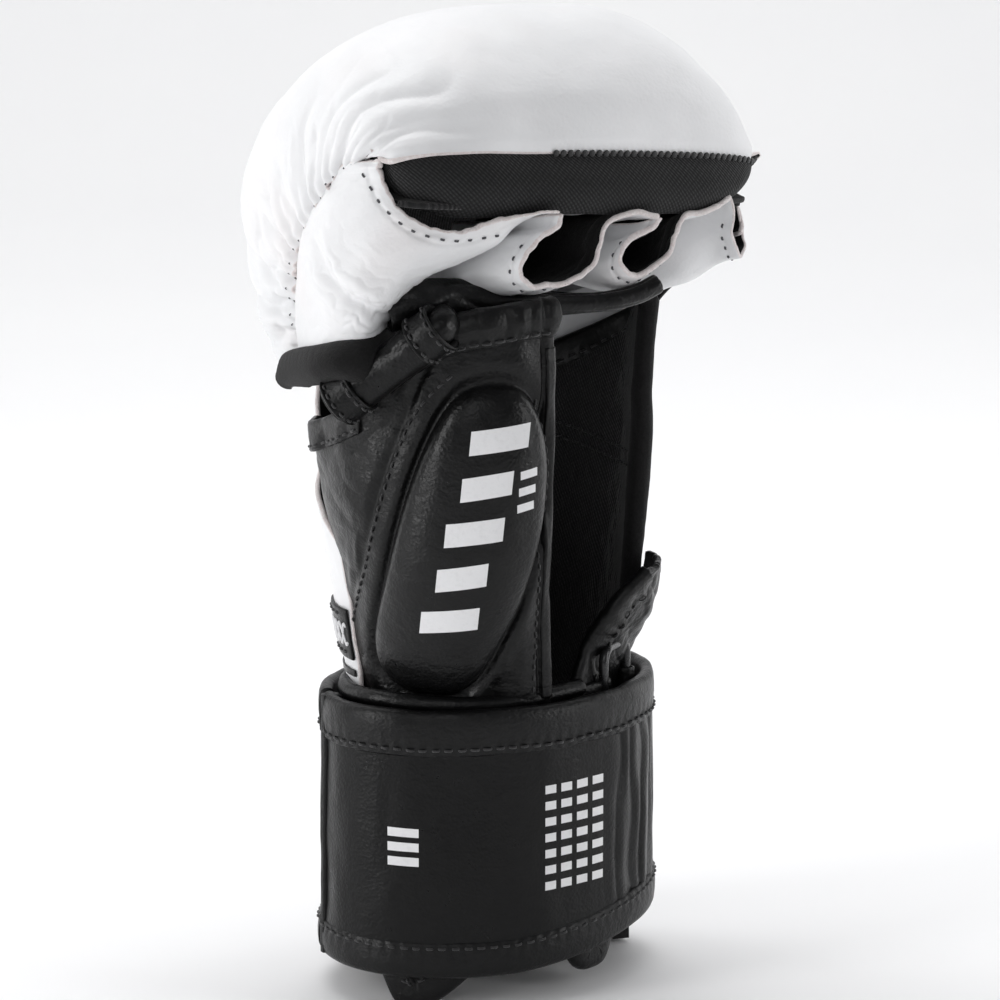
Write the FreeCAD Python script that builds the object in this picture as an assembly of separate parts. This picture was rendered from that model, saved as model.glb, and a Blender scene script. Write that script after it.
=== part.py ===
import FreeCAD, Part
import math, os
from FreeCAD import Vector as V

# Left sparring-type fighting glove, open palm, open fingertips.  Millimetres.
# +Z runs from the wrist to the fingers, the palm faces -Y, the back of the
# hand faces +Y, the thumb is on the -X side.  Origin: centre of the wrist
# opening, in the plane of the cuff's lower edge.

# ---- driving dimensions -------------------------------------------------
SKIN = 1.4            # leather thickness
LINER = 2.0           # neoprene liner thickness
GAP = 0.25            # glue / stitch gap between neighbouring layers
STRAP_IN = 6.3        # strap inner face, measured out from the hand space
STRAP_OUT = 10.8      # strap outer face
STRAP_Z0 = 12.5       # strap leather, lower edge (binding below it)
STRAP_Z1 = 80.5       # strap leather, upper edge (binding above it)
STRAP_BIND = 3.6      # binding width on the strap edges
BACK_Z1 = 163.0       # upper end of the back-of-hand padding
KNUCKLE_SHIFT = 0.0   # lift of the whole knuckle pad
LOOP_Y0, LOOP_Y1 = -13.0, -46.0   # finger loops, rear and front edges
THUMB_W0 = 35.0       # heading of the thumb side, degrees from straight on

# hand space: half-axes and centre of its oval cross-section by height
HZ = [0, 40, 85, 110, 140, 165, 185, 205]
HA = [41, 40.5, 40, 42, 45.5, 47.5, 50, 52]
HB = [28.5, 28, 27.5, 27, 27, 27, 28, 28]
HC = [0, 0, 0, 0.5, 1.5, 2, 3, 4]
# padding thickness over the back of the hand by height
PADZ = [0, 85, 110, 140, 165, 185]
PADT = [5.0, 5.0, 8.5, 12.0, 13.5, 14.0]

# thumb panel, outer face: rows bottom to top, columns rear seam to free edge,
# given across (u) and out (w) of the thumb heading
TP = [[(-38.5, -3, 88), (-37, 12, 88), (-27, 25, 88), (-10, 32, 88), (6, 32, 88), (16, 28.5, 88)],
      [(-40, -4, 105), (-39.5, 14, 105), (-29, 31, 105), (-10, 39.5, 105), (8, 38.5, 105), (16.5, 33, 105)],
      [(-42.5, -4, 125), (-42.5, 16, 125), (-32, 36, 125), (-11, 45.5, 125), (9, 43, 125), (16.5, 36, 125)],
      [(-45.5, -3, 145), (-46, 18, 145), (-35, 39, 146), (-12, 48, 148), (9, 45.5, 150), (16.8, 38, 151)],
      [(-47, 0, 155), (-47, 20, 157), (-34, 41, 166), (-13, 50, 178), (6, 48, 185.5), (17, 41, 187)]]

# knuckle pad: profiles (y, z) at mid width, back edge to lip
KO = [(42.5, 172), (50, 190), (53.5, 211), (49.5, 234), (38, 255), (18, 268), (-6, 273), (-28, 267.5), (-43, 255), (-49.5, 240)]
KI = [(29.5, 172), (31, 190), (31, 208), (27, 221), (14, 230), (-4, 233), (-20, 231), (-32, 227), (-40, 224), (-45, 222.5)]
KT = [0, -.005, -.01, -.012, -.015, -.018, -.025, -.045, -.075, -.10]
# its two side seams, and half-width and fullness towards each side
EL = [(10, 172), (9, 182), (7, 192), (5, 201), (1, 210), (-5, 218), (-12, 226), (-19, 233), (-25, 238), (-30, 241)]
WL = [52, 55, 59, 61.5, 62.5, 63, 63, 63, 62, 60.5]
PL = [3, 3.3, 3.6, 3.4, 2.9, 2.5, 2.3, 2.3, 2.5, 3]
ER = [(12, 172), (12, 181), (11, 190), (8, 198), (3, 205), (-4, 212), (-12, 217), (-20, 221), (-28, 225), (-36, 231)]
WR = [52, 56, 59.5, 62, 63.5, 64, 64.5, 65, 65, 65]
PR = [3, 3.4, 3.8, 3.9, 3.7, 3.6, 3.4, 3.3, 3.2, 3]
EIL = [(10, 172), (9, 181), (7, 190), (4, 198), (0, 206), (-5, 213), (-11, 219), (-18, 223), (-24, 226), (-29, 228)]
EIR = [(12, 172), (11, 180), (9, 188), (6, 195), (1, 201), (-5, 206), (-12, 210), (-20, 213), (-27, 216), (-34, 219)]

os.makedirs("parts", exist_ok=True)
CA, SA = math.cos(math.radians(THUMB_W0)), math.sin(math.radians(THUMB_W0))


# ---- small geometry helpers ----------------------------------------------
def spl(xs, ys, x):
    n = len(xs)
    if x <= xs[0]:
        return ys[0]
    if x >= xs[-1]:
        return ys[-1]
    i = 0
    while x > xs[i + 1]:
        i += 1

    def m(k):
        if k == 0:
            return (ys[1] - ys[0]) / (xs[1] - xs[0])
        if k == n - 1:
            return (ys[-1] - ys[-2]) / (xs[-1] - xs[-2])
        return (ys[k + 1] - ys[k - 1]) / (xs[k + 1] - xs[k - 1])
    h = xs[i + 1] - xs[i]
    t = (x - xs[i]) / h
    return ((2 * t ** 3 - 3 * t * t + 1) * ys[i] + (t ** 3 - 2 * t * t + t) * h * m(i)
            + (-2 * t ** 3 + 3 * t * t) * ys[i + 1] + (t ** 3 - t * t) * h * m(i + 1))


def mixv(a, b, t):
    return a + (b - a) * t


def skin(f, n, m):
    pts = [[f(i / n, j / m) for j in range(m + 1)] for i in range(n + 1)]
    s = Part.BSplineSurface()
    s.interpolate(pts)
    return s


def rim(s):
    u0, u1, v0, v1 = s.bounds()
    return [s.uIso(u0).toShape(), s.uIso(u1).toShape(), s.vIso(v0).toShape(), s.vIso(v1).toShape()]


def sheet(fo, fi, n, m):
    """Closed solid between two faces given over (0..1, 0..1)."""
    a, b = skin(fo, n, m), skin(fi, n, m)
    faces = [a.toShape(), b.toShape()]
    for p, q in zip(rim(a), rim(b)):
        faces.append(Part.makeRuledSurface(p, q, 1))
    shell = Part.makeShell(faces)
    shell.sewShape(0.001)
    if shell.ShapeType != "Shell":
        shell = shell.Shells[0]
    solid = Part.makeSolid(shell)
    if solid.Volume < 0:
        solid.reverse()
    return solid


def tube(path, r, hole=0.0, n=None):
    """Round bar (or hollow roll) along a smooth path of points."""
    pts = [V(*p) for p in path]
    c = Part.BSplineCurve()
    c.interpolate(pts)
    wire = Part.Wire([c.toShape()])
    t = c.tangent(c.FirstParameter)[0]

    def ring(rad):
        return Part.Wire([Part.Circle(pts[0], t, rad).toShape()])
    solid = wire.makePipeShell([ring(r)], True, False)
    if hole:
        solid = solid.cut(wire.makePipeShell([ring(hole)], True, False))
    if solid.ShapeType != "Solid":
        solid = solid.Solids[0]
    return solid


NODES = []


def put(name, shape):
    shape.exportStep("parts/%s.step" % name)
    NODES.append(name)
    print("%-24s valid=%s closed=%s solids=%d vol=%.0f" % (name, shape.isValid(), shape.isClosed(), len(shape.Solids), shape.Volume))


# ---- surface families -----------------------------------------------------
def hand(theta, z, d):
    """Point at distance d outside the hand space; 90 degrees is the back of the hand."""
    a, b, cy = spl(HZ, HA, z), spl(HZ, HB, z), spl(HZ, HC, z)
    t = math.radians(theta)
    c, s = math.cos(t), math.sin(t)
    nx, ny = c / a, s / b
    q = math.hypot(nx, ny)
    return V(a * c + d * nx / q, cy + b * s + d * ny / q, z)


def back_t(theta, z):
    s = max(0.0, math.sin(math.radians(theta)))
    return 4.6 + (spl(PADZ, PADT, z) - 4.6) * s ** 0.8


def hand_sheet(t0, t1, z0, z1, d0, d1, n=14, m=8):
    def f(d):
        def g(s, t):
            a = t0(t) if callable(t0) else t0
            b = t1(t) if callable(t1) else t1
            th = a + (b - a) * s
            lo = z0(s) if callable(z0) else z0
            hi = z1(s) if callable(z1) else z1
            z = lo + (hi - lo) * t
            return hand(th, z, d(th, z) if callable(d) else d)
        return g
    return sheet(f(d1), f(d0), n, m)


def uw(u, w, z):
    return V(u * CA - w * SA, -u * SA - w * CA, z)


def tp(s, t):
    """Thumb panel outer face: s from rear seam to free edge, t from bottom to top."""
    rows = len(TP) - 1
    cols = len(TP[0]) - 1
    q = []
    for r in TP:
        q.append([spl(list(range(cols + 1)), [p[k] for p in r], s * cols) for k in range(3)])
    p = [spl(list(range(rows + 1)), [c[k] for c in q], t * rows) for k in range(3)]
    return uw(*p)


def tpn(s, t):
    e = 0.004
    s0, s1 = max(0, s - e), min(1, s + e)
    t0, t1 = max(0, t - e), min(1, t + e)
    a = tp(s1, t) - tp(s0, t)
    b = tp(s, t1) - tp(s, t0)
    n = a.cross(b)
    n.normalize()
    return n


def tpo(s, t, d):
    return tp(s, t) + tpn(s, t) * d


def super_q(q, p):
    """q 0..1 round a half superellipse -> (xi, f)."""
    a = math.pi * (1 - q)
    c, s = math.cos(a), max(0.0, math.sin(a))
    return math.copysign(abs(c) ** (2 / p), c), s ** (2 / p)


JJ = list(range(10))


def pad(q, jt, which):
    j = jt * 9
    left = q < 0.5
    w = spl(JJ, WL if left else WR, j)
    if which == "o":
        K, E = KO, (EL if left else ER)
        p = spl(JJ, PL if left else PR, j)
        k = 1.0
    else:
        K, E = KI, (EIL if left else EIR)
        w -= 4.5
        p = 4.0
        k = 0.8
    xi, f = super_q(q, p)
    oy, oz = spl(JJ, [c[0] for c in K], j), spl(JJ, [c[1] for c in K], j)
    ey, ez = spl(JJ, [c[0] for c in E], j), spl(JJ, [c[1] for c in E], j)
    tz = spl(JJ, KT, j) * xi * w * f * k
    return V(xi * w, ey + (oy - ey) * f, ez + (oz - ez) * f + tz + KNUCKLE_SHIFT)


def pad_o(q, t, d):
    a, b = pad(q, t, "o"), pad(q, t, "i")
    v = b - a
    v.normalize()
    return a + v * d


def pad_i(q, t, d):
    a, b = pad(q, t, "o"), pad(q, t, "i")
    v = a - b
    v.normalize()
    return b + v * d


def lining_z(x, y):
    """Height of the pad's inner face above the point (x, y), front half only."""
    lo, hi = 4.0, 9.0
    for _ in range(24):
        j = (lo + hi) / 2
        w = spl(JJ, WL if x < 0 else WR, j) - 4.5
        xi = max(-0.985, min(0.985, x / w))
        f = (1 - abs(xi) ** 4) ** 0.25
        E = EIL if x < 0 else EIR
        oy = spl(JJ, [c[0] for c in KI], j)
        ey = spl(JJ, [c[0] for c in E], j)
        yy = ey + (oy - ey) * f
        if yy > y:
            lo = j
        else:
            hi = j
    oz = spl(JJ, [c[1] for c in KI], j)
    ez = spl(JJ, [c[1] for c in E], j)
    return ez + (oz - ez) * f + spl(JJ, KT, j) * xi * w * f * 0.8


# ==== hand body: back of the hand ==========================================
put("back_hand_liner", hand_sheet(-15, 127.5, 4, BACK_Z1, 0, LINER, 16, 12))
put("back_hand_foam", hand_sheet(-9, 125, 6, BACK_Z1, LINER + GAP, lambda th, z: back_t(th, z) - SKIN - GAP, 16, 12))
put("back_hand_leather", hand_sheet(-12, 127.5, 4, BACK_Z1, lambda th, z: back_t(th, z) - SKIN, back_t, 16, 12))
put("back_band", hand_sheet(-10, 126, 93, 107, lambda th, z: back_t(th, z) + 0.3, lambda th, z: back_t(th, z) + 1.0, 14, 6))

def WING_TOP(s):
    """Upper edge of the little-finger wing, low at the palm end."""
    return 87 + 25 * max(0.0, s) ** 0.75


# ==== hand body: cuff ======================================================
put("cuff_lining", hand_sheet(134.5, 290, 4, 82.2, 0, 1.5, 22, 6))
put("cuff_leather", hand_sheet(134.5, 288, 4, 82, 1.75, 4.5, 18, 5))


def edge_roll(t0, t1, z, d, r, n=16):
    return tube([tuple(hand(t0 + (t1 - t0) * k / n, z(k / n) if callable(z) else z, d)) for k in range(n + 1)], r)


put("cuff_top_binding", edge_roll(142, 286, 84.7, 3.2, 2.2))
put("cuff_bottom_binding", hand_sheet(134.5, 310, 0, 3.8, 0.2, 4.5, 18, 2))
put("back_bottom_binding", hand_sheet(-12, 133, 0, 3.8, 0.2, 5.0, 16, 2))
put("loop_patch", hand_sheet(186, 240, 18, 74, 4.75, 5.6, 8, 4))
put("inner_strap", hand_sheet(244, 291, 32, 66, 4.75, 5.8, 8, 4))
put("wing_panel", hand_sheet(300, 344, 72, WING_TOP, -0.9, 0.7, 10, 5))
put("wing_binding", sheet(lambda s, t: hand(300 + 44 * s, WING_TOP(s) + 0.25 + 2.6 * t, 1.0),
                          lambda s, t: hand(300 + 44 * s, WING_TOP(s) + 0.25 + 2.6 * t, -1.2), 12, 2))

# ==== hand body: strap, fixed part over the back of the wrist ================
SB = STRAP_BIND


def strap_set(prefix, t0, t1, d0=STRAP_IN):
    put(prefix, hand_sheet(t0, t1, STRAP_Z0, STRAP_Z1, d0, STRAP_OUT - 0.5, 20, 4))
    put(prefix + "_top_binding", hand_sheet(t0, t1, STRAP_Z1 + 0.2, STRAP_Z1 + SB, STRAP_IN, STRAP_OUT, 20, 2))
    put(prefix + "_bottom_binding", hand_sheet(t0, t1, STRAP_Z0 - SB, STRAP_Z0 - 0.2, STRAP_IN, STRAP_OUT, 20, 2))


strap_set("strap_back", 2, 176.5)
# ==== strap flap body: from the little-finger side over the palm side =======
strap_set("strap_flap", 183.5, 358, STRAP_IN + 0.95)
put("strap_flap_end_binding", hand_sheet(180.2, 183.2, STRAP_Z0, STRAP_Z1, STRAP_IN + 0.3, STRAP_OUT, 3, 4))
put("hook_patch", hand_sheet(187, 239, 19, 73, STRAP_IN, STRAP_IN + 0.7, 8, 4))

# ==== ring body and its tab =================================================
RING_H, RING_R = 32.0, 1.4
RING_Z = 78.0
p_leg = hand(322, RING_Z, 3.5)
p_far = hand(298.5, RING_Z, 3.5)
tdir = p_far - p_leg
tdir.z = 0
RING_W = tdir.Length
tdir.normalize()
c = 4.0


def rp(a, b):
    return p_leg + tdir * a + V(0, 0, b)


h2 = RING_H / 2
loop = [(0, -h2 + c), (0, h2 - c), (c, h2), (RING_W - c, h2), (RING_W, h2 - c), (RING_W, -h2 + c), (RING_W - c, -h2), (c, -h2)]
cs = [(c, h2 - c), (RING_W - c, h2 - c), (RING_W - c, -h2 + c), (c, -h2 + c)]
k = c * math.sqrt(0.5)
mids = [(c - k, h2 - c + k), (RING_W - c + k, h2 - c + k), (RING_W - c + k, -h2 + c - k), (c - k, -h2 + c - k)]
ed = []
for i in range(4):
    ed.append(Part.makeLine(rp(*loop[2 * i]), rp(*loop[2 * i + 1])))
    ed.append(Part.Arc(rp(*loop[2 * i + 1]), rp(*mids[i]), rp(*loop[(2 * i + 2) % 8])).toShape())
rw = Part.Wire(ed)
prof = Part.Wire([Part.Circle(rp(0, -h2 + c), V(0, 0, 1), RING_R).toShape()])
put("strap_ring", rw.makePipeShell([prof], True, False))
# leather tab folded round the ring's outer leg
axis0 = rp(0, 7.5)
o = Part.makeCylinder(2.4, 15.0, rp(0, -7.5), V(0, 0, 1))
i_ = Part.makeCylinder(1.75, 15.0, rp(0, -7.5), V(0, 0, 1))
put("ring_tab", o.cut(i_))
print("ring hinge", p_leg, "dir", tdir, "width", RING_W)

# ==== thumb body ============================================================
put("thumb_panel", sheet(lambda s, t: tpo(s, t, 0), lambda s, t: tpo(s, t, -SKIN), 18, 12))
put("thumb_lining", sheet(lambda s, t: tpo(s, t, -SKIN - GAP), lambda s, t: tpo(s, t, -SKIN - GAP - 1.5), 18, 12))


def oval(a, b):
    """(-1..1, -1..1) over the long oval pad -> panel parameters."""
    t = 0.50 + 0.455 * b
    half = 0.205 * (1 - abs(b) ** 3.2 * 0.62)
    cen = 0.535 + 0.10 * (t - 0.1)
    return cen + half * a, t


def pad_h(a, b):
    return 0.9 + 5.4 * (1 - abs(a) ** 3.5) * (1 - abs(b) ** 6)


put("thumb_pad_foam", sheet(lambda s, t: tpo(*oval(2 * s - 1, 2 * t - 1), 0.2 + pad_h(2 * s - 1, 2 * t - 1)),
                            lambda s, t: tpo(*oval(2 * s - 1, 2 * t - 1), 0.2), 12, 14))
put("thumb_pad_cover", sheet(lambda s, t: tpo(*oval(2 * s - 1, 2 * t - 1), 1.7 + pad_h(2 * s - 1, 2 * t - 1)),
                             lambda s, t: tpo(*oval(2 * s - 1, 2 * t - 1), 0.45 + pad_h(2 * s - 1, 2 * t - 1)), 12, 14))
put("thumb_top_binding", sheet(lambda s, t: tpo(s, 1, 0.6) + V(0, 0, 0.25 + 3.2 * t), lambda s, t: tpo(s, 1, -3.4) + V(0, 0, 0.25 + 3.2 * t), 18, 2))
put("thumb_edge_binding", sheet(lambda s, t: tpo(1, s * 0.98, 0.4) + (tpo(1, s * 0.98, 0) - tpo(0.99, s * 0.98, 0)).normalize() * (0.25 + 2.4 * t),
                                lambda s, t: tpo(1, s * 0.98, -3.2) + (tpo(1, s * 0.98, 0) - tpo(0.99, s * 0.98, 0)).normalize() * (0.25 + 2.4 * t), 12, 2))
R0, R1 = V(-58.6, -13, 170), V(-46.5, -45, 194.5)
ROLL_R = 4.8
rd = (R1 - R0).normalize()
L = (R1 - R0).Length
put("thumb_roll", Part.makeCylinder(ROLL_R, L, R0, rd).cut(Part.makeCylinder(2.6, L, R0, rd)))
for nm, f0, f1 in (("roll_keeper_lower", 0.06, 0.36), ("roll_keeper_upper", 0.70, 0.97)):
    put(nm, Part.makeCylinder(6.2, L * (f1 - f0), R0 + rd * (L * f0), rd).cut(Part.makeCylinder(ROLL_R + 0.2, L * (f1 - f0), R0 + rd * (L * f0), rd)))

# ==== knuckle body ==========================================================
put("knuckle_shell", sheet(lambda s, t: pad_o(s, t, 0), lambda s, t: pad_o(s, t, SKIN), 28, 20))


def th(q, t):
    return (pad(q, t, "o") - pad(q, t, "i")).Length


put("knuckle_foam", sheet(lambda s, t: pad_o(s, 0.01 + 0.97 * t, SKIN + 0.35), lambda s, t: pad_i(s, 0.01 + 0.97 * t, 1.85), 28, 20))
put("knuckle_lining", sheet(lambda s, t: pad_i(s, t, 1.5), lambda s, t: pad_i(s, t, 0), 28, 20))


def lip(s, t, d):
    a = pad_o(0.03 + 0.94 * s, 1, 0.8)
    b = pad_i(0.03 + 0.94 * s, 1, 0.8)
    a2 = pad_o(0.03 + 0.94 * s, 0.985, 0.8)
    n = a - a2
    n.normalize()
    bulge = 2.2 * (1 - (2 * t - 1) ** 2) * (1 - (2 * s - 1) ** 4)
    return mixv(a, b, t) + n * (0.3 + d) + V(0, -bulge, 0)


put("lip_band", sheet(lambda s, t: lip(s, t, 1.3), lambda s, t: lip(s, t, 0), 24, 4))

# finger loops: open troughs of leather under the pad
LOOPS = {"index_loop": (-40.5, 17.0, 214.0, 14.0), "middle_loop": (-6.8, 14.8, 214.5, 11.6),
         "ring_loop": (24.6, 12.6, 213.5, 11.2), "pinky_loop": (48.7, 9.6, 209.5, 7.6)}


def trough(cx, rx, zc, rz, d):
    def g(s, t):
        y = LOOP_Y0 + (LOOP_Y1 - LOOP_Y0) * t
        z0 = zc
        if s < 0.25 or s > 0.75:
            k = (0.25 - s) / 0.25 if s < 0.25 else (s - 0.75) / 0.25
            x = cx - rx + d if s < 0.25 else cx + rx - d
            top = lining_z(cx - rx if s < 0.25 else cx + rx, y) - 0.8
            return V(x, y, z0 + max(0.5, top - z0) * k)
        a = math.pi * (s - 0.25) / 0.5
        return V(cx - (rx - d) * math.cos(a), y, z0 - (rz - d) * math.sin(a))
    return g


for nm, (cx, rx, zc, rz) in LOOPS.items():
    put(nm, sheet(trough(cx, rx, zc, rz, 0), trough(cx, rx, zc, rz, SKIN), 24, 5))

# side panels closing the pad down to its two lower side edges
LB = [(-54.5, 8, 171.5), (-58.5, 0, 176), (-61.5, -9, 181), (-62.5, -18, 186), (-62, -26, 191), (-61, -33, 198)]
RB = [(54.5, 9, 171), (58.5, 2, 174), (62, -6, 178), (64.5, -14, 183), (65.5, -22, 189), (66, -30, 196)]


def side(B, E, W, sgn, d):
    def g(s, t):
        j = s * 9
        e = V(sgn * (spl(JJ, W, j) + 0.5 + SKIN), spl(JJ, [c[0] for c in E], j) - 0.8, spl(JJ, [c[1] for c in E], j) - 0.8)
        kk = list(range(6))
        b = V(*[spl(kk, [p[i] for p in B], s * 5) for i in range(3)])
        b = V(b.x, b.y - 2.5, b.z)
        p = mixv(e, b, t)
        return p + V(sgn * (1.2 * math.sin(math.pi * t) * s - d), 0, 0)
    return g


put("side_panel_index", sheet(side(LB, EL, WL, -1, 0), side(LB, EL, WL, -1, SKIN), 14, 5))
put("side_panel_pinky", sheet(side(RB, ER, WR, 1, 0), side(RB, ER, WR, 1, SKIN), 14, 5))
for nm, B, sg in (("side_binding_index", LB, -1), ("side_binding_pinky", RB, 1)):
    pts = [(p[0] - sg * 0.7, p[1] - 3.1, p[2] - 2.0) for p in B]
    put(nm, tube(pts, 1.7))

# palm bar: leather roll on a foam core under the finger loops
PB0, PB1 = V(-38, -29, 194.6), V(26, -44.5, 195.2)
pd = (PB1 - PB0).normalize()
PL_ = (PB1 - PB0).Length
put("palm_bar", Part.makeCylinder(5.2, PL_, PB0, pd).cut(Part.makeCylinder(3.9, PL_, PB0, pd)))
put("palm_bar_core", Part.makeCylinder(3.7, PL_ - 12, PB0 + pd * 6, pd))


# white facing inside the knuckle pad's rear edge, with its binding
def facing(s, t, d):
    q = 0.62 + 0.32 * s
    p = pad_i(q, 0.0, -0.35 - d)
    r = pad_i(q, 0.24, -0.35 - d)
    return mixv(p, r, t)


put("inner_facing", sheet(lambda s, t: facing(s, t, 0), lambda s, t: facing(s, t, 1.1), 10, 5))
put("pad_rear_binding", sheet(lambda s, t: pad_o(0.02 + 0.96 * s, 0, -0.3) - V(0, 0, 0.3 + 2.6 * t),
                              lambda s, t: pad_i(0.02 + 0.96 * s, 0, -0.3) - V(0, 0, 0.3 + 2.6 * t), 28, 2))
print(len(NODES), "nodes")
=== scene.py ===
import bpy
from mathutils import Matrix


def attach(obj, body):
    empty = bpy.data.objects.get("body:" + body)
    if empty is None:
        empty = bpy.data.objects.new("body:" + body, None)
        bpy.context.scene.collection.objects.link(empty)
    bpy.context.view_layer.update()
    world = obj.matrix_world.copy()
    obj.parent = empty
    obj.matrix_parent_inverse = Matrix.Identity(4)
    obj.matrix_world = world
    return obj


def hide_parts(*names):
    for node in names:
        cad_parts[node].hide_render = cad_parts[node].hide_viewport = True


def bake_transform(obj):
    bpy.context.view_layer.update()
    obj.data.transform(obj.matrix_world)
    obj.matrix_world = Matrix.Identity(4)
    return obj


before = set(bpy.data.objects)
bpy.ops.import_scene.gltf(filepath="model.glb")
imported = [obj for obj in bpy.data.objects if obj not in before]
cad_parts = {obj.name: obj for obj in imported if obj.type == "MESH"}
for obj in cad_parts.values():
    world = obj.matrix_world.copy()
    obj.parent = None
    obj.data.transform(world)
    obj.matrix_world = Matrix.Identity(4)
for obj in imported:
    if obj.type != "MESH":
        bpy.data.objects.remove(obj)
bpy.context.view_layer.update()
import math
import bpy
import numpy as np
from mathutils import Vector

MM = 0.001
COL = bpy.context.scene.collection
CA, SA = math.cos(math.radians(35)), math.sin(math.radians(35))


# ---------------------------------------------------------------- numbers
def spl(xs, ys, x):
    xs, ys = np.asarray(xs, float), np.asarray(ys, float)
    x = np.clip(np.asarray(x, float), xs[0], xs[-1])
    n = len(xs)
    m = np.empty(n)
    m[0] = (ys[1] - ys[0]) / (xs[1] - xs[0])
    m[-1] = (ys[-1] - ys[-2]) / (xs[-1] - xs[-2])
    m[1:-1] = (ys[2:] - ys[:-2]) / (xs[2:] - xs[:-2])
    i = np.clip(np.searchsorted(xs, x, side="right") - 1, 0, n - 2)
    h = xs[i + 1] - xs[i]
    t = (x - xs[i]) / h
    return ((2 * t ** 3 - 3 * t * t + 1) * ys[i] + (t ** 3 - 2 * t * t + t) * h * m[i]
            + (-2 * t ** 3 + 3 * t * t) * ys[i + 1] + (t ** 3 - t * t) * h * m[i + 1])


def sst(a, b, x):
    t = np.clip((np.asarray(x, float) - a) / (b - a), 0, 1)
    return t * t * (3 - 2 * t)


def vn(x, y, seed=0):
    """Smooth noise in -1..1 over a unit grid."""
    r = np.random.RandomState(seed).rand(64, 64) * 2 - 1
    x, y = np.asarray(x, float), np.asarray(y, float)
    xi, yi = np.floor(x).astype(int), np.floor(y).astype(int)
    fx, fy = x - xi, y - yi
    fx, fy = fx * fx * (3 - 2 * fx), fy * fy * (3 - 2 * fy)
    a, b = r[xi % 64, yi % 64], r[(xi + 1) % 64, yi % 64]
    c, d = r[xi % 64, (yi + 1) % 64], r[(xi + 1) % 64, (yi + 1) % 64]
    return (a + (b - a) * fx) * (1 - fy) + (c + (d - c) * fx) * fy


def fbm(x, y, seed=0, k=3):
    return sum(vn(x * 2 ** i, y * 2 ** i, seed + i) / 2 ** i for i in range(k))


def resample(P, n, axis=0):
    """Smooth curve through the control points, evenly spaced by control index."""
    P = np.moveaxis(np.asarray(P, float), axis, 0)
    k = len(P)
    d = np.zeros(k)
    flat = P.reshape(k, -1)
    d[1:] = np.cumsum(np.maximum(np.linalg.norm(np.diff(flat, axis=0), axis=1), 1e-6) ** 0.5)
    x = np.linspace(0, d[-1], n)
    out = np.stack([spl(d, flat[:, c], x) for c in range(flat.shape[1])], 1)
    return np.moveaxis(out.reshape((n,) + P.shape[1:]), 0, axis)


def net(rows, n, m):
    return resample(resample(rows, n, 0), m, 1)


def arc(P, n):
    """Resample a polyline evenly by length."""
    P = np.asarray(P, float)
    d = np.concatenate([[0], np.cumsum(np.linalg.norm(np.diff(P, axis=0), axis=1))])
    x = np.linspace(0, d[-1], n)
    return np.stack([np.interp(x, d, P[:, c]) for c in range(3)], 1)


def curve(P, n=200):
    return arc(resample(P, 400), n)


def unit(v):
    return v / np.maximum(np.linalg.norm(v, axis=-1, keepdims=True), 1e-9)


def normals(P, wrap=False):
    if wrap:
        Q = np.concatenate([P[-2:-1], P, P[1:2]], 0)
        du = (Q[2:] - Q[:-2])
    else:
        du = np.gradient(P, axis=0)
    dv = np.gradient(P, axis=1)
    return unit(np.cross(du, dv))


def lengths(P):
    """Cumulative distance along axis 0 and axis 1."""
    a = np.concatenate([np.zeros((1,) + P.shape[1:2]), np.cumsum(np.linalg.norm(np.diff(P, axis=0), axis=2), 0)], 0)
    b = np.concatenate([np.zeros(P.shape[:1] + (1,)), np.cumsum(np.linalg.norm(np.diff(P, axis=1), axis=2), 1)], 1)
    return a, b


# ---------------------------------------------------------------- meshes
def mesh_object(name, V, F, mats, idx=None, uv=None, smooth=True):
    me = bpy.data.meshes.new(name)
    me.from_pydata((np.asarray(V, float) * MM).tolist(), [], [tuple(int(i) for i in f) for f in F])
    for m in mats:
        me.materials.append(m)
    if idx is not None:
        me.polygons.foreach_set("material_index", np.asarray(idx, np.int32))
    if smooth:
        me.polygons.foreach_set("use_smooth", [True] * len(me.polygons))
    if uv is not None:
        lay = me.uv_layers.new(name="UVMap")
        loops = np.empty(len(me.loops), np.int32)
        me.loops.foreach_get("vertex_index", loops)
        lay.data.foreach_set("uv", np.asarray(uv, np.float32)[loops].ravel())
    me.update()
    ob = bpy.data.objects.new(name, me)
    COL.objects.link(ob)
    return ob


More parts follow.
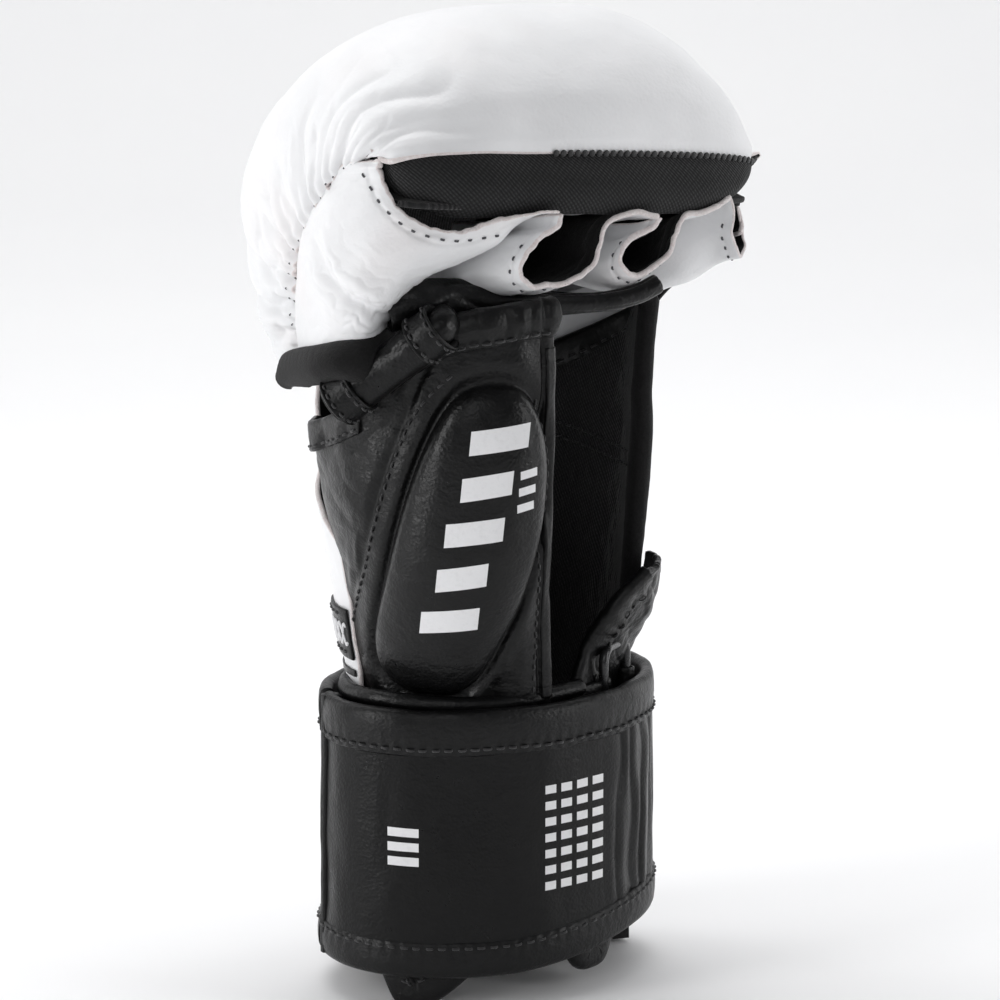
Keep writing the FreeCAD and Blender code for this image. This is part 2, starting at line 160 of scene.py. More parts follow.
def slab(name, P, thick, mats, flip=False, wrap=False, round_=True, N=None):
    """Sheet with real thickness from an outer grid of points; rounded rims. Materials: outer, inner, rim."""
    n, m = P.shape[:2]
    if N is None:
        N = normals(P, wrap)
        if flip:
            N = -N
    t = np.broadcast_to(np.asarray(thick, float), (n, m))[..., None]
    I = P - N * t
    a, b = lengths(P)
    uv = np.stack([a, b], -1).reshape(-1, 2) / 10.0
    V = [P.reshape(-1, 3), I.reshape(-1, 3)]
    UV = [uv, uv]
    F, idx = [], []
    ii, jj = np.meshgrid(np.arange(n - 1), np.arange(m - 1), indexing="ij")
    q = np.stack([ii * m + jj, (ii + 1) * m + jj, (ii + 1) * m + jj + 1, ii * m + jj + 1], -1).reshape(-1, 4)
    if flip:
        q = q[:, ::-1]
    F.append(q)
    idx.append(np.zeros(len(q), int))
    F.append(q[:, ::-1] + n * m)
    idx.append(np.ones(len(q), int))
    if wrap:
        loops = [(np.arange(n) * m, 1), (np.arange(n) * m + m - 1, -1)]
    else:
        ring = [i * m for i in range(n)] + [(n - 1) * m + j for j in range(1, m)] + [i * m + m - 1 for i in range(n - 2, -1, -1)] + [j for j in range(m - 2, 0, -1)]
        loops = [(np.array(ring), 1)]
    base = 2 * n * m
    PO, PI = P.reshape(-1, 3), I.reshape(-1, 3)
    for ring, sg in loops:
        i, j = ring // m, ring % m
        ni = np.clip(i, 1, n - 2) if not wrap else i
        nj = np.clip(j, 1, m - 2)
        inner = PO[ni * m + nj]
        out = unit(PO[ring] - inner)
        Nr = N.reshape(-1, 3)[ring]
        out = unit(out - (out * Nr).sum(1, keepdims=True) * Nr)
        rings = [ring]
        k = len(ring)
        for phi in ((45, 90, 135) if round_ else ()):
            c, s = math.cos(math.radians(phi)), math.sin(math.radians(phi))
            half = (PO[ring] - PI[ring]) / 2
            r = np.linalg.norm(half, axis=1, keepdims=True) * 0.85
            V.append((PO[ring] + PI[ring]) / 2 + half * c + out * r * s)
            UV.append(uv[ring] + np.array([[0.0, 0.01 * phi / 45]]))
            rings.append(np.arange(base, base + k))
            base += k
        rings.append(ring + n * m)
        for A, B in zip(rings[:-1], rings[1:]):
            A2, B2 = np.roll(A, -1), np.roll(B, -1)
            f = np.stack([A, A2, B2, B], -1)
            if wrap:
                f = f[:-1]
            if (sg < 0) != flip:
                f = f[:, ::-1]
            f = f[:, ::-1]
            F.append(f)
            idx.append(np.full(len(f), 2 if len(mats) > 2 else 0))
    V = np.concatenate(V)
    ob = mesh_object(name, V, np.concatenate(F), mats, np.minimum(np.concatenate(idx), len(mats) - 1), np.concatenate(UV))
    return ob


def frames(path):
    t = unit(np.gradient(path, axis=0))
    n = np.zeros_like(path)
    ref = np.array([0, 0, 1.0]) if abs(t[0][2]) < 0.9 else np.array([1.0, 0, 0])
    n[0] = unit(np.cross(np.cross(t[0], ref), t[0]))
    for i in range(1, len(path)):
        v = n[i - 1] - t[i] * np.dot(n[i - 1], t[i])
        n[i] = unit(v)
    return t, n, np.cross(t, n)


def tube(name, path, r, mat, sides=32, hollow=0.0, shape=None, caps=True, inner=None):
    """Round roll along a path. r may vary; shape(angle, s) scales the radius; hollow leaves the ends open."""
    path = np.asarray(path, float)
    k = len(path)
    t, n, b = frames(path)
    a = np.linspace(0, 2 * math.pi, sides + 1)
    r = np.broadcast_to(np.asarray(r, float), (k,))
    A, S = np.meshgrid(a, np.linspace(0, 1, k), indexing="ij")
    R = np.broadcast_to(r[None, :], A.shape).copy()
    if shape is not None:
        R = R * shape(A, S)
    P = path[None] + R[..., None] * (np.cos(A)[..., None] * n[None] + np.sin(A)[..., None] * b[None])
    if hollow:
        return slab(name, P, hollow, [mat, inner or mat, mat], wrap=True, flip=False)
    V = P.reshape(-1, 3)
    F = []
    for i in range(sides):
        for j in range(k - 1):
            F.append((i * k + j, (i + 1) * k + j, (i + 1) * k + j + 1, i * k + j + 1))
    uvx = np.stack([A * r.mean() / 10, np.broadcast_to(lengths(P)[1].mean(0), A.shape) / 10], -1).reshape(-1, 2)
    if caps:
        V = np.concatenate([V, path[:1] - t[:1] * r[0] * 0.25, path[-1:] + t[-1:] * r[-1] * 0.25])
        uvx = np.concatenate([uvx, [[0, 0], [0, 0]]])
        for i in range(sides):
            F.append((i * k, len(V) - 2, (i + 1) * k))
            F.append((i * k + k - 1, (i + 1) * k + k - 1, len(V) - 1))
    return mesh_object(name, V, F, [mat], uv=uvx)


def binding(name, path, inward, nrm, mat, w=8.0, h=2.2, b=1.6, pucker=0.18, pitch=3.6, w2=None, seed=1):
    """Folded edge strip: a U-shaped leather profile swept along an edge. inward points into the sheet."""
    k = len(path)
    w2 = w if w2 is None else w2
    inward, nrm = unit(inward), unit(nrm)
    ws = np.broadcast_to(np.asarray(w, float), (k,))
    prof = [(1.0, 0.10, 0), (1.0, 0.72, 0), (0.93, 1.0, 0), (0.72, 1.04, 0), (0.45, 1.1, 0), (0.2, 1.08, 0), (0.0, 1.0, 0)]
    P = []
    s = np.concatenate([[0], np.cumsum(np.linalg.norm(np.diff(path, axis=0), axis=1))])
    ph = np.cos(2 * math.pi * s / pitch)
    wob = vn(s / 7.0, s * 0 + 3.3, seed) * 0.12
    for f, hh, _ in prof:
        amp = pucker * ph * math.exp(-((f - 0.82) / 0.12) ** 2)
        groove = -0.30 * math.exp(-((f - 0.80) / 0.07) ** 2) * h
        P.append(path + inward * (ws * f)[:, None] + nrm * (hh * h + groove + amp + wob * h * (1 - f))[:, None])
    for ang in (35, 65, 90, 115, 145):
        a = math.radians(ang)
        P.append(path - inward * (b * math.sin(a)) + nrm * ((h * (1 + wob)) * math.cos(a))[:, None])
    for f, hh, _ in reversed(prof):
        P.append(path + inward * (ws * f * w2 / w)[:, None] - nrm * (hh * h))
    P = np.array(P)
    g = len(P)
    V = P.reshape(-1, 3)
    F = []
    for i in range(g - 1):
        for j in range(k - 1):
            F.append((i * k + j, i * k + j + 1, (i + 1) * k + j + 1, (i + 1) * k + j))
    for j in range(k - 1):
        F.append(((g - 1) * k + j, (g - 1) * k + j + 1, j + 1, j))
    F.append([i * k for i in range(g)])
    F.append([i * k + k - 1 for i in range(g)][::-1])
    a, bb = lengths(P)
    return mesh_object(name, V, F, [mat], uv=np.stack([a, bb], -1).reshape(-1, 2) / 10)


def stitches(name, path, nrm, mat, pitch=3.6, length=2.5, r=0.36, lift=0.05, start=0.5, yaw=0.0, seed=5):
    """A row of short threads lying on a surface, ends sunk into it."""
    path, nrm = np.asarray(path, float), np.asarray(nrm, float)
    d = np.concatenate([[0], np.cumsum(np.linalg.norm(np.diff(path, axis=0), axis=1))])
    cs = np.arange(start * pitch, d[-1] - length / 2, pitch)
    rs = np.random.RandomState(seed)
    V, F = [], []
    at = lambda x, A: np.stack([np.interp(x, d, A[:, c]) for c in range(3)], -1)
    hx = [(-1, -1.5), (-0.72, 0.1), (-0.3, 0.75), (0.3, 0.75), (0.72, 0.1), (1, -1.5)]
    for c in cs:
        c = c + rs.uniform(-0.12, 0.12)
        L = length / 2 * rs.uniform(0.92, 1.06)
        n0 = unit(at(np.array(c), nrm))
        tan = unit(at(np.array(min(c + 0.4, d[-1])), path) - at(np.array(max(c - 0.4, 0)), path))
        side = unit(np.cross(n0, tan))
        y = yaw + rs.uniform(-0.06, 0.06)
        dirn = tan * math.cos(y) + side * math.sin(y)
        sd = unit(np.cross(n0, dirn))
        base = len(V)
        for f, h in hx:
            cen = at(np.array(np.clip(c + f * L, 0, d[-1])), path)
            cen = cen + side * (f * L * math.sin(y)) + n0 * (h * r + lift)
            rr = r * (0.75 if abs(f) > 0.9 else 1.0)
            for kk in range(6):
                a = kk * math.pi / 3
                V.append(cen + sd * rr * math.cos(a) + n0 * rr * 0.8 * math.sin(a))
        for i in range(len(hx) - 1):
            for kk in range(6):
                k2 = (kk + 1) % 6
                F.append((base + i * 6 + kk, base + i * 6 + k2, base + (i + 1) * 6 + k2, base + (i + 1) * 6 + kk))
        F.append([base + kk for kk in range(6)][::-1])
        F.append([base + 5 * 6 + kk for kk in range(6)])
    return mesh_object(name, V, F, [mat])


# ---------------------------------------------------------------- materials
class Nodes:
    def __init__(self, name):
        self.m = bpy.data.materials.new(name)
        self.m.use_nodes = True
        self.t = self.m.node_tree
        self.b = self.t.nodes["Principled BSDF"]

    def n(self, kind, **kw):
        x = self.t.nodes.new(kind)
        for k, v in kw.items():
            if hasattr(x, k):
                setattr(x, k, v)
            else:
                x.inputs[k].default_value = v
        return x

    def l(self, a, b):
        self.t.links.new(a, b)

    def set(self, **kw):
        for k, v in kw.items():
            self.b.inputs[k.replace("_", " ")].default_value = v

    def coord(self, uv=False, scale=(1, 1, 1), rot=(0, 0, 0)):
        c = self.n("ShaderNodeTexCoord")
        mp = self.n("ShaderNodeMapping")
        mp.inputs["Scale"].default_value = scale
        mp.inputs["Rotation"].default_value = rot
        self.l(c.outputs["UV" if uv else "Object"], mp.inputs["Vector"])
        return mp.outputs["Vector"]

    def noise(self, vec, scale, detail=3.0, rough=0.5, dist=0.0):
        x = self.n("ShaderNodeTexNoise")
        x.inputs["Scale"].default_value = scale
        x.inputs["Detail"].default_value = detail
        x.inputs["Roughness"].default_value = rough
        x.inputs["Distortion"].default_value = dist
        self.l(vec, x.inputs["Vector"])
        return x.outputs["Fac"]

    def voronoi(self, vec, scale, feature="F1", rand=1.0):
        x = self.n("ShaderNodeTexVoronoi", feature=feature)
        x.inputs["Scale"].default_value = scale
        x.inputs["Randomness"].default_value = rand
        self.l(vec, x.inputs["Vector"])
        return x.outputs["Distance"]

    def ramp(self, fac, stops):
        x = self.n("ShaderNodeValToRGB")
        e = x.color_ramp.elements
        while len(e) < len(stops):
            e.new(0.5)
        for k, (p, c) in enumerate(stops):
            e[k].position = p
            e[k].color = (c if hasattr(c, "__len__") else (c, c, c)) + (1,) if hasattr(c, "__len__") else (c, c, c, 1)
        self.l(fac, x.inputs["Fac"])
        return x.outputs["Color"]

    def maprange(self, fac, a, b, c, d):
        x = self.n("ShaderNodeMapRange")
        for k, v in zip(("From Min", "From Max", "To Min", "To Max"), (a, b, c, d)):
            x.inputs[k].default_value = v
        self.l(fac, x.inputs["Value"])
        return x.outputs["Result"]

    def mix(self, fac, a, b, blend="MIX"):
        x = self.n("ShaderNodeMix", data_type="RGBA", blend_type=blend)
        if hasattr(fac, "node"):
            self.l(fac, x.inputs[0])
        else:
            x.inputs[0].default_value = fac
        for k, v in ((6, a), (7, b)):
            if hasattr(v, "node"):
                self.l(v, x.inputs[k])
            else:
                x.inputs[k].default_value = tuple(v) + (1,)
        return x.outputs[2]

    def math(self, op, a, b=0.0):
        x = self.n("ShaderNodeMath", operation=op)
        for k, v in ((0, a), (1, b)):
            if hasattr(v, "node"):
                self.l(v, x.inputs[k])
            else:
                x.inputs[k].default_value = v
        return x.outputs[0]

    def bump(self, height, strength, dist, prev=None):
        x = self.n("ShaderNodeBump")
        x.inputs["Strength"].default_value = strength
        x.inputs["Distance"].default_value = dist
        self.l(height, x.inputs["Height"])
        if prev is not None:
            self.l(prev, x.inputs["Normal"])
        return x.outputs["Normal"]


def leather(name, base, dark, rough=(0.42, 0.55), grain=900.0, grain_s=0.30, crease=120.0, crease_s=0.25, coat=0.0, spec=0.5, tint=None, sheen=0.0):
    m = Nodes(name)
    v = m.coord()
    big = m.noise(v, 28.0, 3.0, 0.55)
    mid = m.noise(v, 160.0, 4.0, 0.6)
    cell = m.voronoi(v, grain)
    fine = m.noise(v, grain * 2.2, 2.0, 0.6)
    col = m.mix(m.maprange(big, 0.3, 0.7, 0.0, 1.0), dark, base)
    if tint:
        tn = m.noise(m.coord(scale=(1, 1, 1), rot=(0.4, 0.2, 0.1)), 17.0, 2.0, 0.5)
        col = m.mix(m.maprange(tn, 0.52, 0.72, 0.0, 0.55), col, tint)
    edge = m.maprange(cell, 0.0, 0.55, 1.0, 0.0)
    col = m.mix(m.math("MULTIPLY", edge, 0.10), col, dark)
    m.l(col, m.b.inputs["Base Color"])
    m.l(m.maprange(mid, 0.3, 0.7, rough[0], rough[1]), m.b.inputs["Roughness"])
    n1 = m.bump(m.noise(m.coord(scale=(1, 1, 1.6), rot=(0.3, 0.5, 0.2)), crease, 5.0, 0.62, 0.6), crease_s, 0.0009)
    n2 = m.bump(cell, grain_s, 0.00022, n1)
    n3 = m.bump(fine, grain_s * 0.6, 0.00008, n2)
    m.l(n3, m.b.inputs["Normal"])
    m.set(Specular_IOR_Level=spec, Coat_Weight=coat, Coat_Roughness=0.3)
    if sheen:
        m.set(Sheen_Weight=sheen, Sheen_Roughness=0.4)
    return m.m


def knit(name, base, light, pitch=0.85, angle=0.9, sheen=0.35):
    """Rib-knit face of neoprene: slanted ribs with small cross loops."""
    m = Nodes(name)
    v = m.coord(uv=True, rot=(0, 0, angle))
    w = m.n("ShaderNodeTexWave", wave_type="BANDS", bands_direction="X", wave_profile="SIN")
    w.inputs["Scale"].default_value = 3.1416 / pitch
    w.inputs["Distortion"].default_value = 0.7
    w.inputs["Detail"].default_value = 1.0
    w.inputs["Detail Scale"].default_value = 2.0
    m.l(v, w.inputs["Vector"])
    w2 = m.n("ShaderNodeTexWave", wave_type="BANDS", bands_direction="Y", wave_profile="SIN")
    w2.inputs["Scale"].default_value = 2.2 / pitch
    w2.inputs["Distortion"].default_value = 0.9
    m.l(v, w2.inputs["Vector"])
    h = m.math("MULTIPLY", w.outputs["Fac"], m.maprange(w2.outputs["Fac"], 0, 1, 0.55, 1.0))
    nz = m.noise(m.coord(), 60.0, 3.0, 0.6)
    col = m.mix(m.maprange(h, 0.1, 0.9, 0.0, 1.0), base, light)
    col = m.mix(m.maprange(nz, 0.35, 0.75, 0.0, 0.35), col, base)
    fz = m.noise(m.coord(), 2600.0, 2.0, 0.7)
    col = m.mix(m.maprange(fz, 0.60, 0.78, 0.0, 0.30), col, tuple(min(1, c * 3.2) for c in light))
    m.l(col, m.b.inputs["Base Color"])
    m.set(Roughness=0.85, Specular_IOR_Level=0.25, Sheen_Weight=sheen, Sheen_Roughness=0.5)
    m.l(m.bump(m.math("ADD", h, m.math("MULTIPLY", fz, 0.35)), 0.75, 0.00025), m.b.inputs["Normal"])
    return m.m


def fuzzy(name, a, b, scale=1500.0, sheen=0.6, bump=0.6, dist=0.00035, rough=0.95):
    m = Nodes(name)
    v = m.coord()
    f = m.noise(v, scale, 4.0, 0.7)
    g = m.noise(v, scale / 9.0, 3.0, 0.6)
    col = m.mix(m.maprange(f, 0.35, 0.65, 0.0, 1.0), a, b)
    col = m.mix(m.maprange(g, 0.4, 0.7, 0.0, 0.5), col, a)
    m.l(col, m.b.inputs["Base Color"])
    m.set(Roughness=rough, Specular_IOR_Level=0.2, Sheen_Weight=sheen, Sheen_Roughness=0.6)
    m.l(m.bump(m.math("ADD", f, g), bump, dist), m.b.inputs["Normal"])
    return m.m


def thread(name, a, b):
    m = Nodes(name)
    v = m.coord(rot=(0.5, 0.3, 0.7))
    f = m.noise(v, 2400.0, 2.0, 0.6)
    m.l(m.mix(f, a, b), m.b.inputs["Base Color"])
    m.set(Roughness=0.55, Specular_IOR_Level=0.4, Sheen_Weight=0.2)
    m.l(m.bump(f, 0.5, 0.0001), m.b.inputs["Normal"])
    return m.m


def paint_metal(name, base):
    m = Nodes(name)
    v = m.coord()
    f = m.noise(v, 900.0, 3.0, 0.6)
    g = m.noise(v, 90.0, 3.0, 0.6)
    m.l(m.mix(m.maprange(g, 0.55, 0.75, 0.0, 0.5), base, tuple(c * 3 + 0.02 for c in base)), m.b.inputs["Base Color"])
    m.l(m.maprange(f, 0.3, 0.7, 0.22, 0.38), m.b.inputs["Roughness"])
    m.set(Metallic=0.55, Specular_IOR_Level=0.5, Coat_Weight=0.3, Coat_Roughness=0.2)
    m.l(m.bump(f, 0.12, 0.00006), m.b.inputs["Normal"])
    return m.m


def ink(name, a, b):
    m = Nodes(name)
    v = m.coord()
    f = m.noise(v, 700.0, 4.0, 0.65)
    m.l(m.mix(m.maprange(f, 0.5, 0.8, 0.0, 0.5), a, b), m.b.inputs["Base Color"])
    m.l(m.maprange(f, 0.3, 0.7, 0.45, 0.6), m.b.inputs["Roughness"])
    m.l(m.bump(m.voronoi(v, 950.0), 0.25, 0.00015), m.b.inputs["Normal"])
    return m.m


WHITE = leather("white_leather", (0.83, 0.83, 0.84), (0.76, 0.765, 0.775), rough=(0.38, 0.50), grain=850, grain_s=0.22, crease=95, crease_s=0.26, tint=(0.84, 0.775, 0.765), spec=0.42)
BLACK = leather("black_leather", (0.0036, 0.0036, 0.0038), (0.0020, 0.0020, 0.0021), rough=(0.26, 0.38), grain=1050, grain_s=0.34, crease=130, crease_s=0.20, spec=0.22)
BLACK_SOFT = leather("black_leather_soft", (0.0038, 0.0038, 0.0040), (0.0020, 0.0020, 0.0021), rough=(0.27, 0.41), grain=950, grain_s=0.36, crease=150, crease_s=0.42, spec=0.27)
BIND = leather("binding_leather", (0.0045, 0.0045, 0.0047), (0.0024, 0.0024, 0.0025), rough=(0.31, 0.45), grain=1000, grain_s=0.36, crease=220, crease_s=0.36, spec=0.27)
KNIT = knit("neoprene_knit", (0.003, 0.003, 0.0033), (0.024, 0.024, 0.025), pitch=0.95, angle=0.7, sheen=0.10)
KNIT_IN = knit("neoprene_inner", (0.007, 0.007, 0.0075), (0.036, 0.035, 0.036), pitch=0.8, angle=0.5, sheen=0.22)
DARK = fuzzy("dark_lining", (0.003, 0.003, 0.003), (0.009, 0.0085, 0.009), sheen=0.08)
RAW = fuzzy("raw_leather_edge", (0.72, 0.64, 0.63), (0.86, 0.82, 0.81), scale=1300, sheen=0.5, bump=0.9, dist=0.0006)
THREAD_W = thread("grey_thread", (0.10, 0.10, 0.11), (0.03, 0.03, 0.035))
THREAD_K = thread("black_thread", (0.008, 0.008, 0.0085), (0.022, 0.022, 0.023))
METAL = paint_metal("ring_metal", (0.016, 0.016, 0.017))
INK = ink("white_ink", (0.80, 0.80, 0.81), (0.66, 0.66, 0.67))
HOOK = fuzzy("hook_tape", (0.012, 0.012, 0.013), (0.035, 0.035, 0.037), scale=1900, sheen=0.2, bump=1.0, dist=0.0006)
LOOP = fuzzy("loop_tape", (0.012, 0.012, 0.013), (0.030, 0.030, 0.032), scale=1100, sheen=0.8, bump=1.0, dist=0.0008)
WEB = knit("elastic_webbing", (0.012, 0.012, 0.013), (0.035, 0.035, 0.037), pitch=1.4, angle=0.0)
FOAM = fuzzy("padding_foam", (0.32, 0.32, 0.30), (0.42, 0.42, 0.40), scale=900, sheen=0.0)

# ---------------------------------------------------------------- surfaces (mm)
HZ = [0, 40, 85, 110, 140, 165, 185, 205]
HA = [41, 40.5, 40, 42, 45.5, 47.5, 50, 52]
HB = [28.5, 28, 27.5, 27, 27, 27, 28, 28]
HC = [0, 0, 0, 0.5, 1.5, 2, 3, 4]
PADZ = [0, 85, 110, 140, 165, 185]
PADT = [5.0, 5.0, 8.5, 12.0, 13.5, 14.0]


def hand(th, z, d):
    th, z, d = np.broadcast_arrays(np.asarray(th, float), np.asarray(z, float), np.asarray(d, float))
    a, b, cy = spl(HZ, HA, z), spl(HZ, HB, z), spl(HZ, HC, z)
    t = np.radians(th)
    c, s = np.cos(t), np.sin(t)
    nx, ny = c / a, s / b
    q = np.hypot(nx, ny)
    return np.stack([a * c + d * nx / q, cy + b * s + d * ny / q, z], -1)


def hand_n(th, z):
    return unit(hand(th, z, 1.0) - hand(th, z, 0.0))


def back_t(th, z):
    s = np.maximum(0.0, np.sin(np.radians(th)))
    return 4.6 + (spl(PADZ, PADT, z) - 4.6) * s ** 0.8


def uw(u, w, z):
    return np.stack([u * CA - w * SA, -u * SA - w * CA, z], -1)


TP = np.array([
    [(-35.5, -3, 70), (-35.5, 12, 70), (-26, 25, 70), (-10, 31, 70), (6, 31.5, 70), (17.5, 27, 70)],
    [(-36.5, -3, 88), (-36, 12, 88), (-27, 25, 88), (-10, 33, 88), (6, 33, 88), (17, 28.5, 88)],
    [(-38.2, -4, 105), (-38.5, 14, 105), (-29, 31, 105), (-10, 39.5, 105), (8, 38.5, 105), (16.5, 33, 105)],
    [(-41.0, -4, 125), (-42.0, 16, 125), (-32, 36, 125), (-11, 45.5, 125), (9, 43, 125), (16.5, 36, 125)],
    [(-45.0, -3, 145), (-46, 18, 145), (-35, 39, 146), (-12, 48, 148), (9, 45.5, 150), (16.8, 38, 151)],
    [(-47.5, 0, 158), (-47.5, 20, 160), (-34, 43, 170), (-12, 52, 186), (6, 50, 189.5), (17.5, 43, 190)]], float)
KO = [(42.5, 172), (50, 190), (53.5, 211), (49.5, 234), (38, 255), (18, 268), (-6, 273), (-28, 267), (-43, 254), (-49.5, 238)]
KI = [(29.5, 172), (31, 190), (31, 208), (27, 221), (14, 230), (-4, 233), (-20, 231), (-32, 227), (-40, 224), (-44, 222)]
KT = [0, -.005, -.01, -.012, -.015, -.018, -.025, -.04, -.06, -.075]
EL = [(15, 172), (12, 182), (8, 192), (5, 202), (1, 210), (-5, 218), (-12, 226), (-19, 232.5), (-26, 236), (-34, 238)]
WL = [53, 56, 59, 61.5, 62.5, 63, 63, 63, 62, 60.5]
PL = [3, 3.3, 3.6, 3.4, 2.9, 2.5, 2.3, 2.3, 2.5, 3]
ER = [(12, 172), (12, 181), (11, 190), (8, 198), (3, 205), (-4, 212), (-12, 217), (-20, 221), (-27, 224.5), (-34, 229)]
WR = [52, 56, 59.5, 62, 63.5, 64, 64.5, 65, 65, 64.5]
PR = [3, 3.4, 3.8, 3.9, 3.7, 3.6, 3.4, 3.3, 3.2, 3]
EIL = [(10, 172), (9, 181), (7, 190), (4, 198), (0, 206), (-5, 213), (-11, 219), (-18, 223), (-25, 225), (-31, 227)]
EIR = [(12, 172), (11, 180), (9, 188), (6, 195), (1, 201), (-5, 206), (-12, 210), (-20, 213), (-27, 216), (-33, 218)]
JJ = list(range(10))


def pad(q, t, which):
    j = t * 9
    left = q < 0.5
    sel = lambda A, B: np.where(left, spl(JJ, A, j), spl(JJ, B, j))
    w = sel(WL, WR)
    if which == "o":
        K, A, B, p, k = KO, EL, ER, sel(PL, PR), 1.0
    else:
        K, A, B, p, k = KI, EIL, EIR, 4.0, 0.8
        w = w - 4.5
    a = math.pi * (1 - q)
    c, s = np.cos(a), np.maximum(np.sin(a), 0)
    xi, f = np.sign(c) * np.abs(c) ** (2 / p), s ** (2 / p)
    oy, oz = spl(JJ, [v[0] for v in K], j), spl(JJ, [v[1] for v in K], j)
    ey, ez = sel([v[0] for v in A], [v[0] for v in B]), sel([v[1] for v in A], [v[1] for v in B])
    return np.stack([xi * w, ey + (oy - ey) * f, ez + (oz - ez) * f + spl(JJ, KT, j) * xi * w * f * k], -1)


def ridge(x, sharp=1.6):
    """Rounded folds with narrow valleys, 0..1."""
    return np.abs(np.sin(np.pi * x)) ** sharp

# ---------------------------------------------------------------- knuckle pad cover
def seam_dots(name, path, N, mat, body, pitch=4.0, length=1.1, r=0.30, lift=0.02, seed=3):
    o = stitches(name, path, N, mat, pitch=pitch, length=length, r=r, lift=lift, seed=seed)
    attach(o, body)
    return o


NQ, NT = 260, 190
q = np.linspace(0, 1, NQ)
q = 0.5 - 0.5 * np.cos(np.pi * q) * (0.9 + 0.1 * np.abs(np.cos(np.pi * q)))
Q, T = np.meshgrid(q, np.linspace(0, 1, NT), indexing="ij")
P = pad(Q, T, "o")
N = normals(P)
if (N[NQ // 2, NT // 2] @ np.array([0, 0.4, 1])) < 0:
    N = -N
a, b = lengths(P)
dl, dr = a, a[-1:] - a
sl = np.broadcast_to(lengths(P[:1])[1], P.shape[:2])
sr = np.broadcast_to(lengths(P[-1:])[1], P.shape[:2])
front = b[:, -1:] - b
warp = 0.55 * vn(dl / 17.0, sl / 23.0, 11)
fold_amp = 0.55 + 0.45 * vn(sl / 6.0, sl * 0 + 0.5, 21)
act = sst(2, 14, sl) * (1 - 0.9 * sst(118, 128, sl))
D = np.zeros_like(dl)
short = (ridge(sl / 4.4 + warp * 0.5, 0.75) - 0.75) * np.exp(-(dl / 10.0) ** 2)
long_ = (ridge(sl / 9.5 + warp, 0.8) - 0.72) * np.exp(-(dl / 32.0) ** 1.6) * (0.5 + 0.5 * fold_amp)
vlong = (ridge(sl / 21.0 + 0.35 * vn(dl / 40.0, sl / 40.0, 31), 0.9) - 0.7) * np.exp(-(dl / 62.0) ** 2) * sst(3, 20, dl)
mid_ = (ridge(sl / 6.3 + 0.7 * vn(dl / 12.0, sl / 15.0, 15), 0.7) - 0.7) * np.exp(-(dl / 22.0) ** 2) * sst(2, 8, dl)
rear_ = np.exp(-((sl - 18) / 34.0) ** 2)
D += act * (1.8 * short + 3.0 * long_ * (1 + 0.3 * rear_) + 1.5 * vlong + 1.1 * mid_ * (0.5 + rear_))
cr = np.exp(-((dl - 14) / 16.0) ** 2) * (0.4 + rear_)
D += -0.55 * cr * np.exp(-(vn(sl / 5.0 + dl / 30.0, dl / 13.0, 17) / 0.16) ** 2)
short_r = (ridge(sr / 5.5 + 0.3 * vn(dr / 15.0, sr / 20.0, 13), 0.8) - 0.7) * np.exp(-(dr / 9.0) ** 2)
D += 1.2 * short_r * sst(3, 15, sr)
D += 0.8 * fbm(P[..., 0] / 34 + 5, (P[..., 1] + P[..., 2]) / 38, 41, 3)
D += 0.16 * fbm(P[..., 0] / 9, (P[..., 1] - P[..., 2]) / 9, 51, 2) * np.exp(-dl / 45.0)
for d_, k_ in ((dl, 1.5), (dr, 1.3), (front, 1.3)):
    D -= k_ * np.exp(-(d_ / 1.9) ** 2)
D -= 0.9 * np.exp(-(b / 3.0) ** 2)
P = P + N * D[..., None]
PADCOVER = P
cover = slab("knuckle_cover", P, 1.5, [WHITE, DARK, RAW], flip=not ((normals(P)[NQ // 2, NT // 2] @ np.array([0, 0.4, 1])) > 0))
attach(cover, "knuckle")
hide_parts("knuckle_shell", "knuckle_foam")

# inner face of the pad: neoprene
Q2, T2 = np.meshgrid(np.linspace(0.004, 0.996, 110), np.linspace(0, 1, 90), indexing="ij")
Pi = pad(Q2, T2, "i")
Pi = Pi + 0.4 * vn(Pi[..., 0] / 14, Pi[..., 1] / 14, 61)[..., None] * np.array([0, 0.5, 0.5])
Ni = normals(Pi)
tow = pad(np.array(0.5), np.array(0.5), "i") - pad(np.array(0.5), np.array(0.5), "o")
fl = (Ni[55, 45] @ tow) < 0
o = slab("pad_lining", Pi, 1.6, [KNIT_IN, DARK, KNIT_IN], flip=bool(fl))
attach(o, "knuckle")
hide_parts("knuckle_lining")

# lip band across the front of the pad
top = PADCOVER[4:NQ - 4:6, -1] + np.array([0, 0.4, -0.5])
tuck = np.exp(-((top[:, 0] + 62) / 7.0) ** 2)
top = curve(top + tuck[:, None] * np.array([1.5, 3.2, 0]), 260)
bot_ctrl = np.array([(-56.6, -32.0, 236.0), (-53.5, -32.8, 229.8), (-49.0, -34.5, 225.0), (-43.5, -37.5, 223.0), (-38.4, -40.5, 222.2), (-26.2, -43, 221.6),
                     (-14.0, -44, 221.3), (-1.6, -45, 220.6), (11.8, -45, 219.5), (26.0, -44, 218.3), (39.9, -42, 217.4), (50.6, -39, 218.3), (57.0, -34.5, 220.8), (61.2, -31.0, 225.5)])
bot = curve(bot_ctrl, 260)
nl = 44
rows = []
for k in range(nl):
    t = k / (nl - 1)
    c = top * (1 - t) + bot * t
    bulge = 3.4 * math.sin(math.pi * min(1, t * 1.02)) ** 0.8 + 1.2 * t
    prof = np.clip(np.linalg.norm(top - bot, axis=1) / 14.0, 0, 1)
    c = c + np.array([0, -1.0, -0.05]) * (bulge * prof)[:, None]
    rows.append(c)
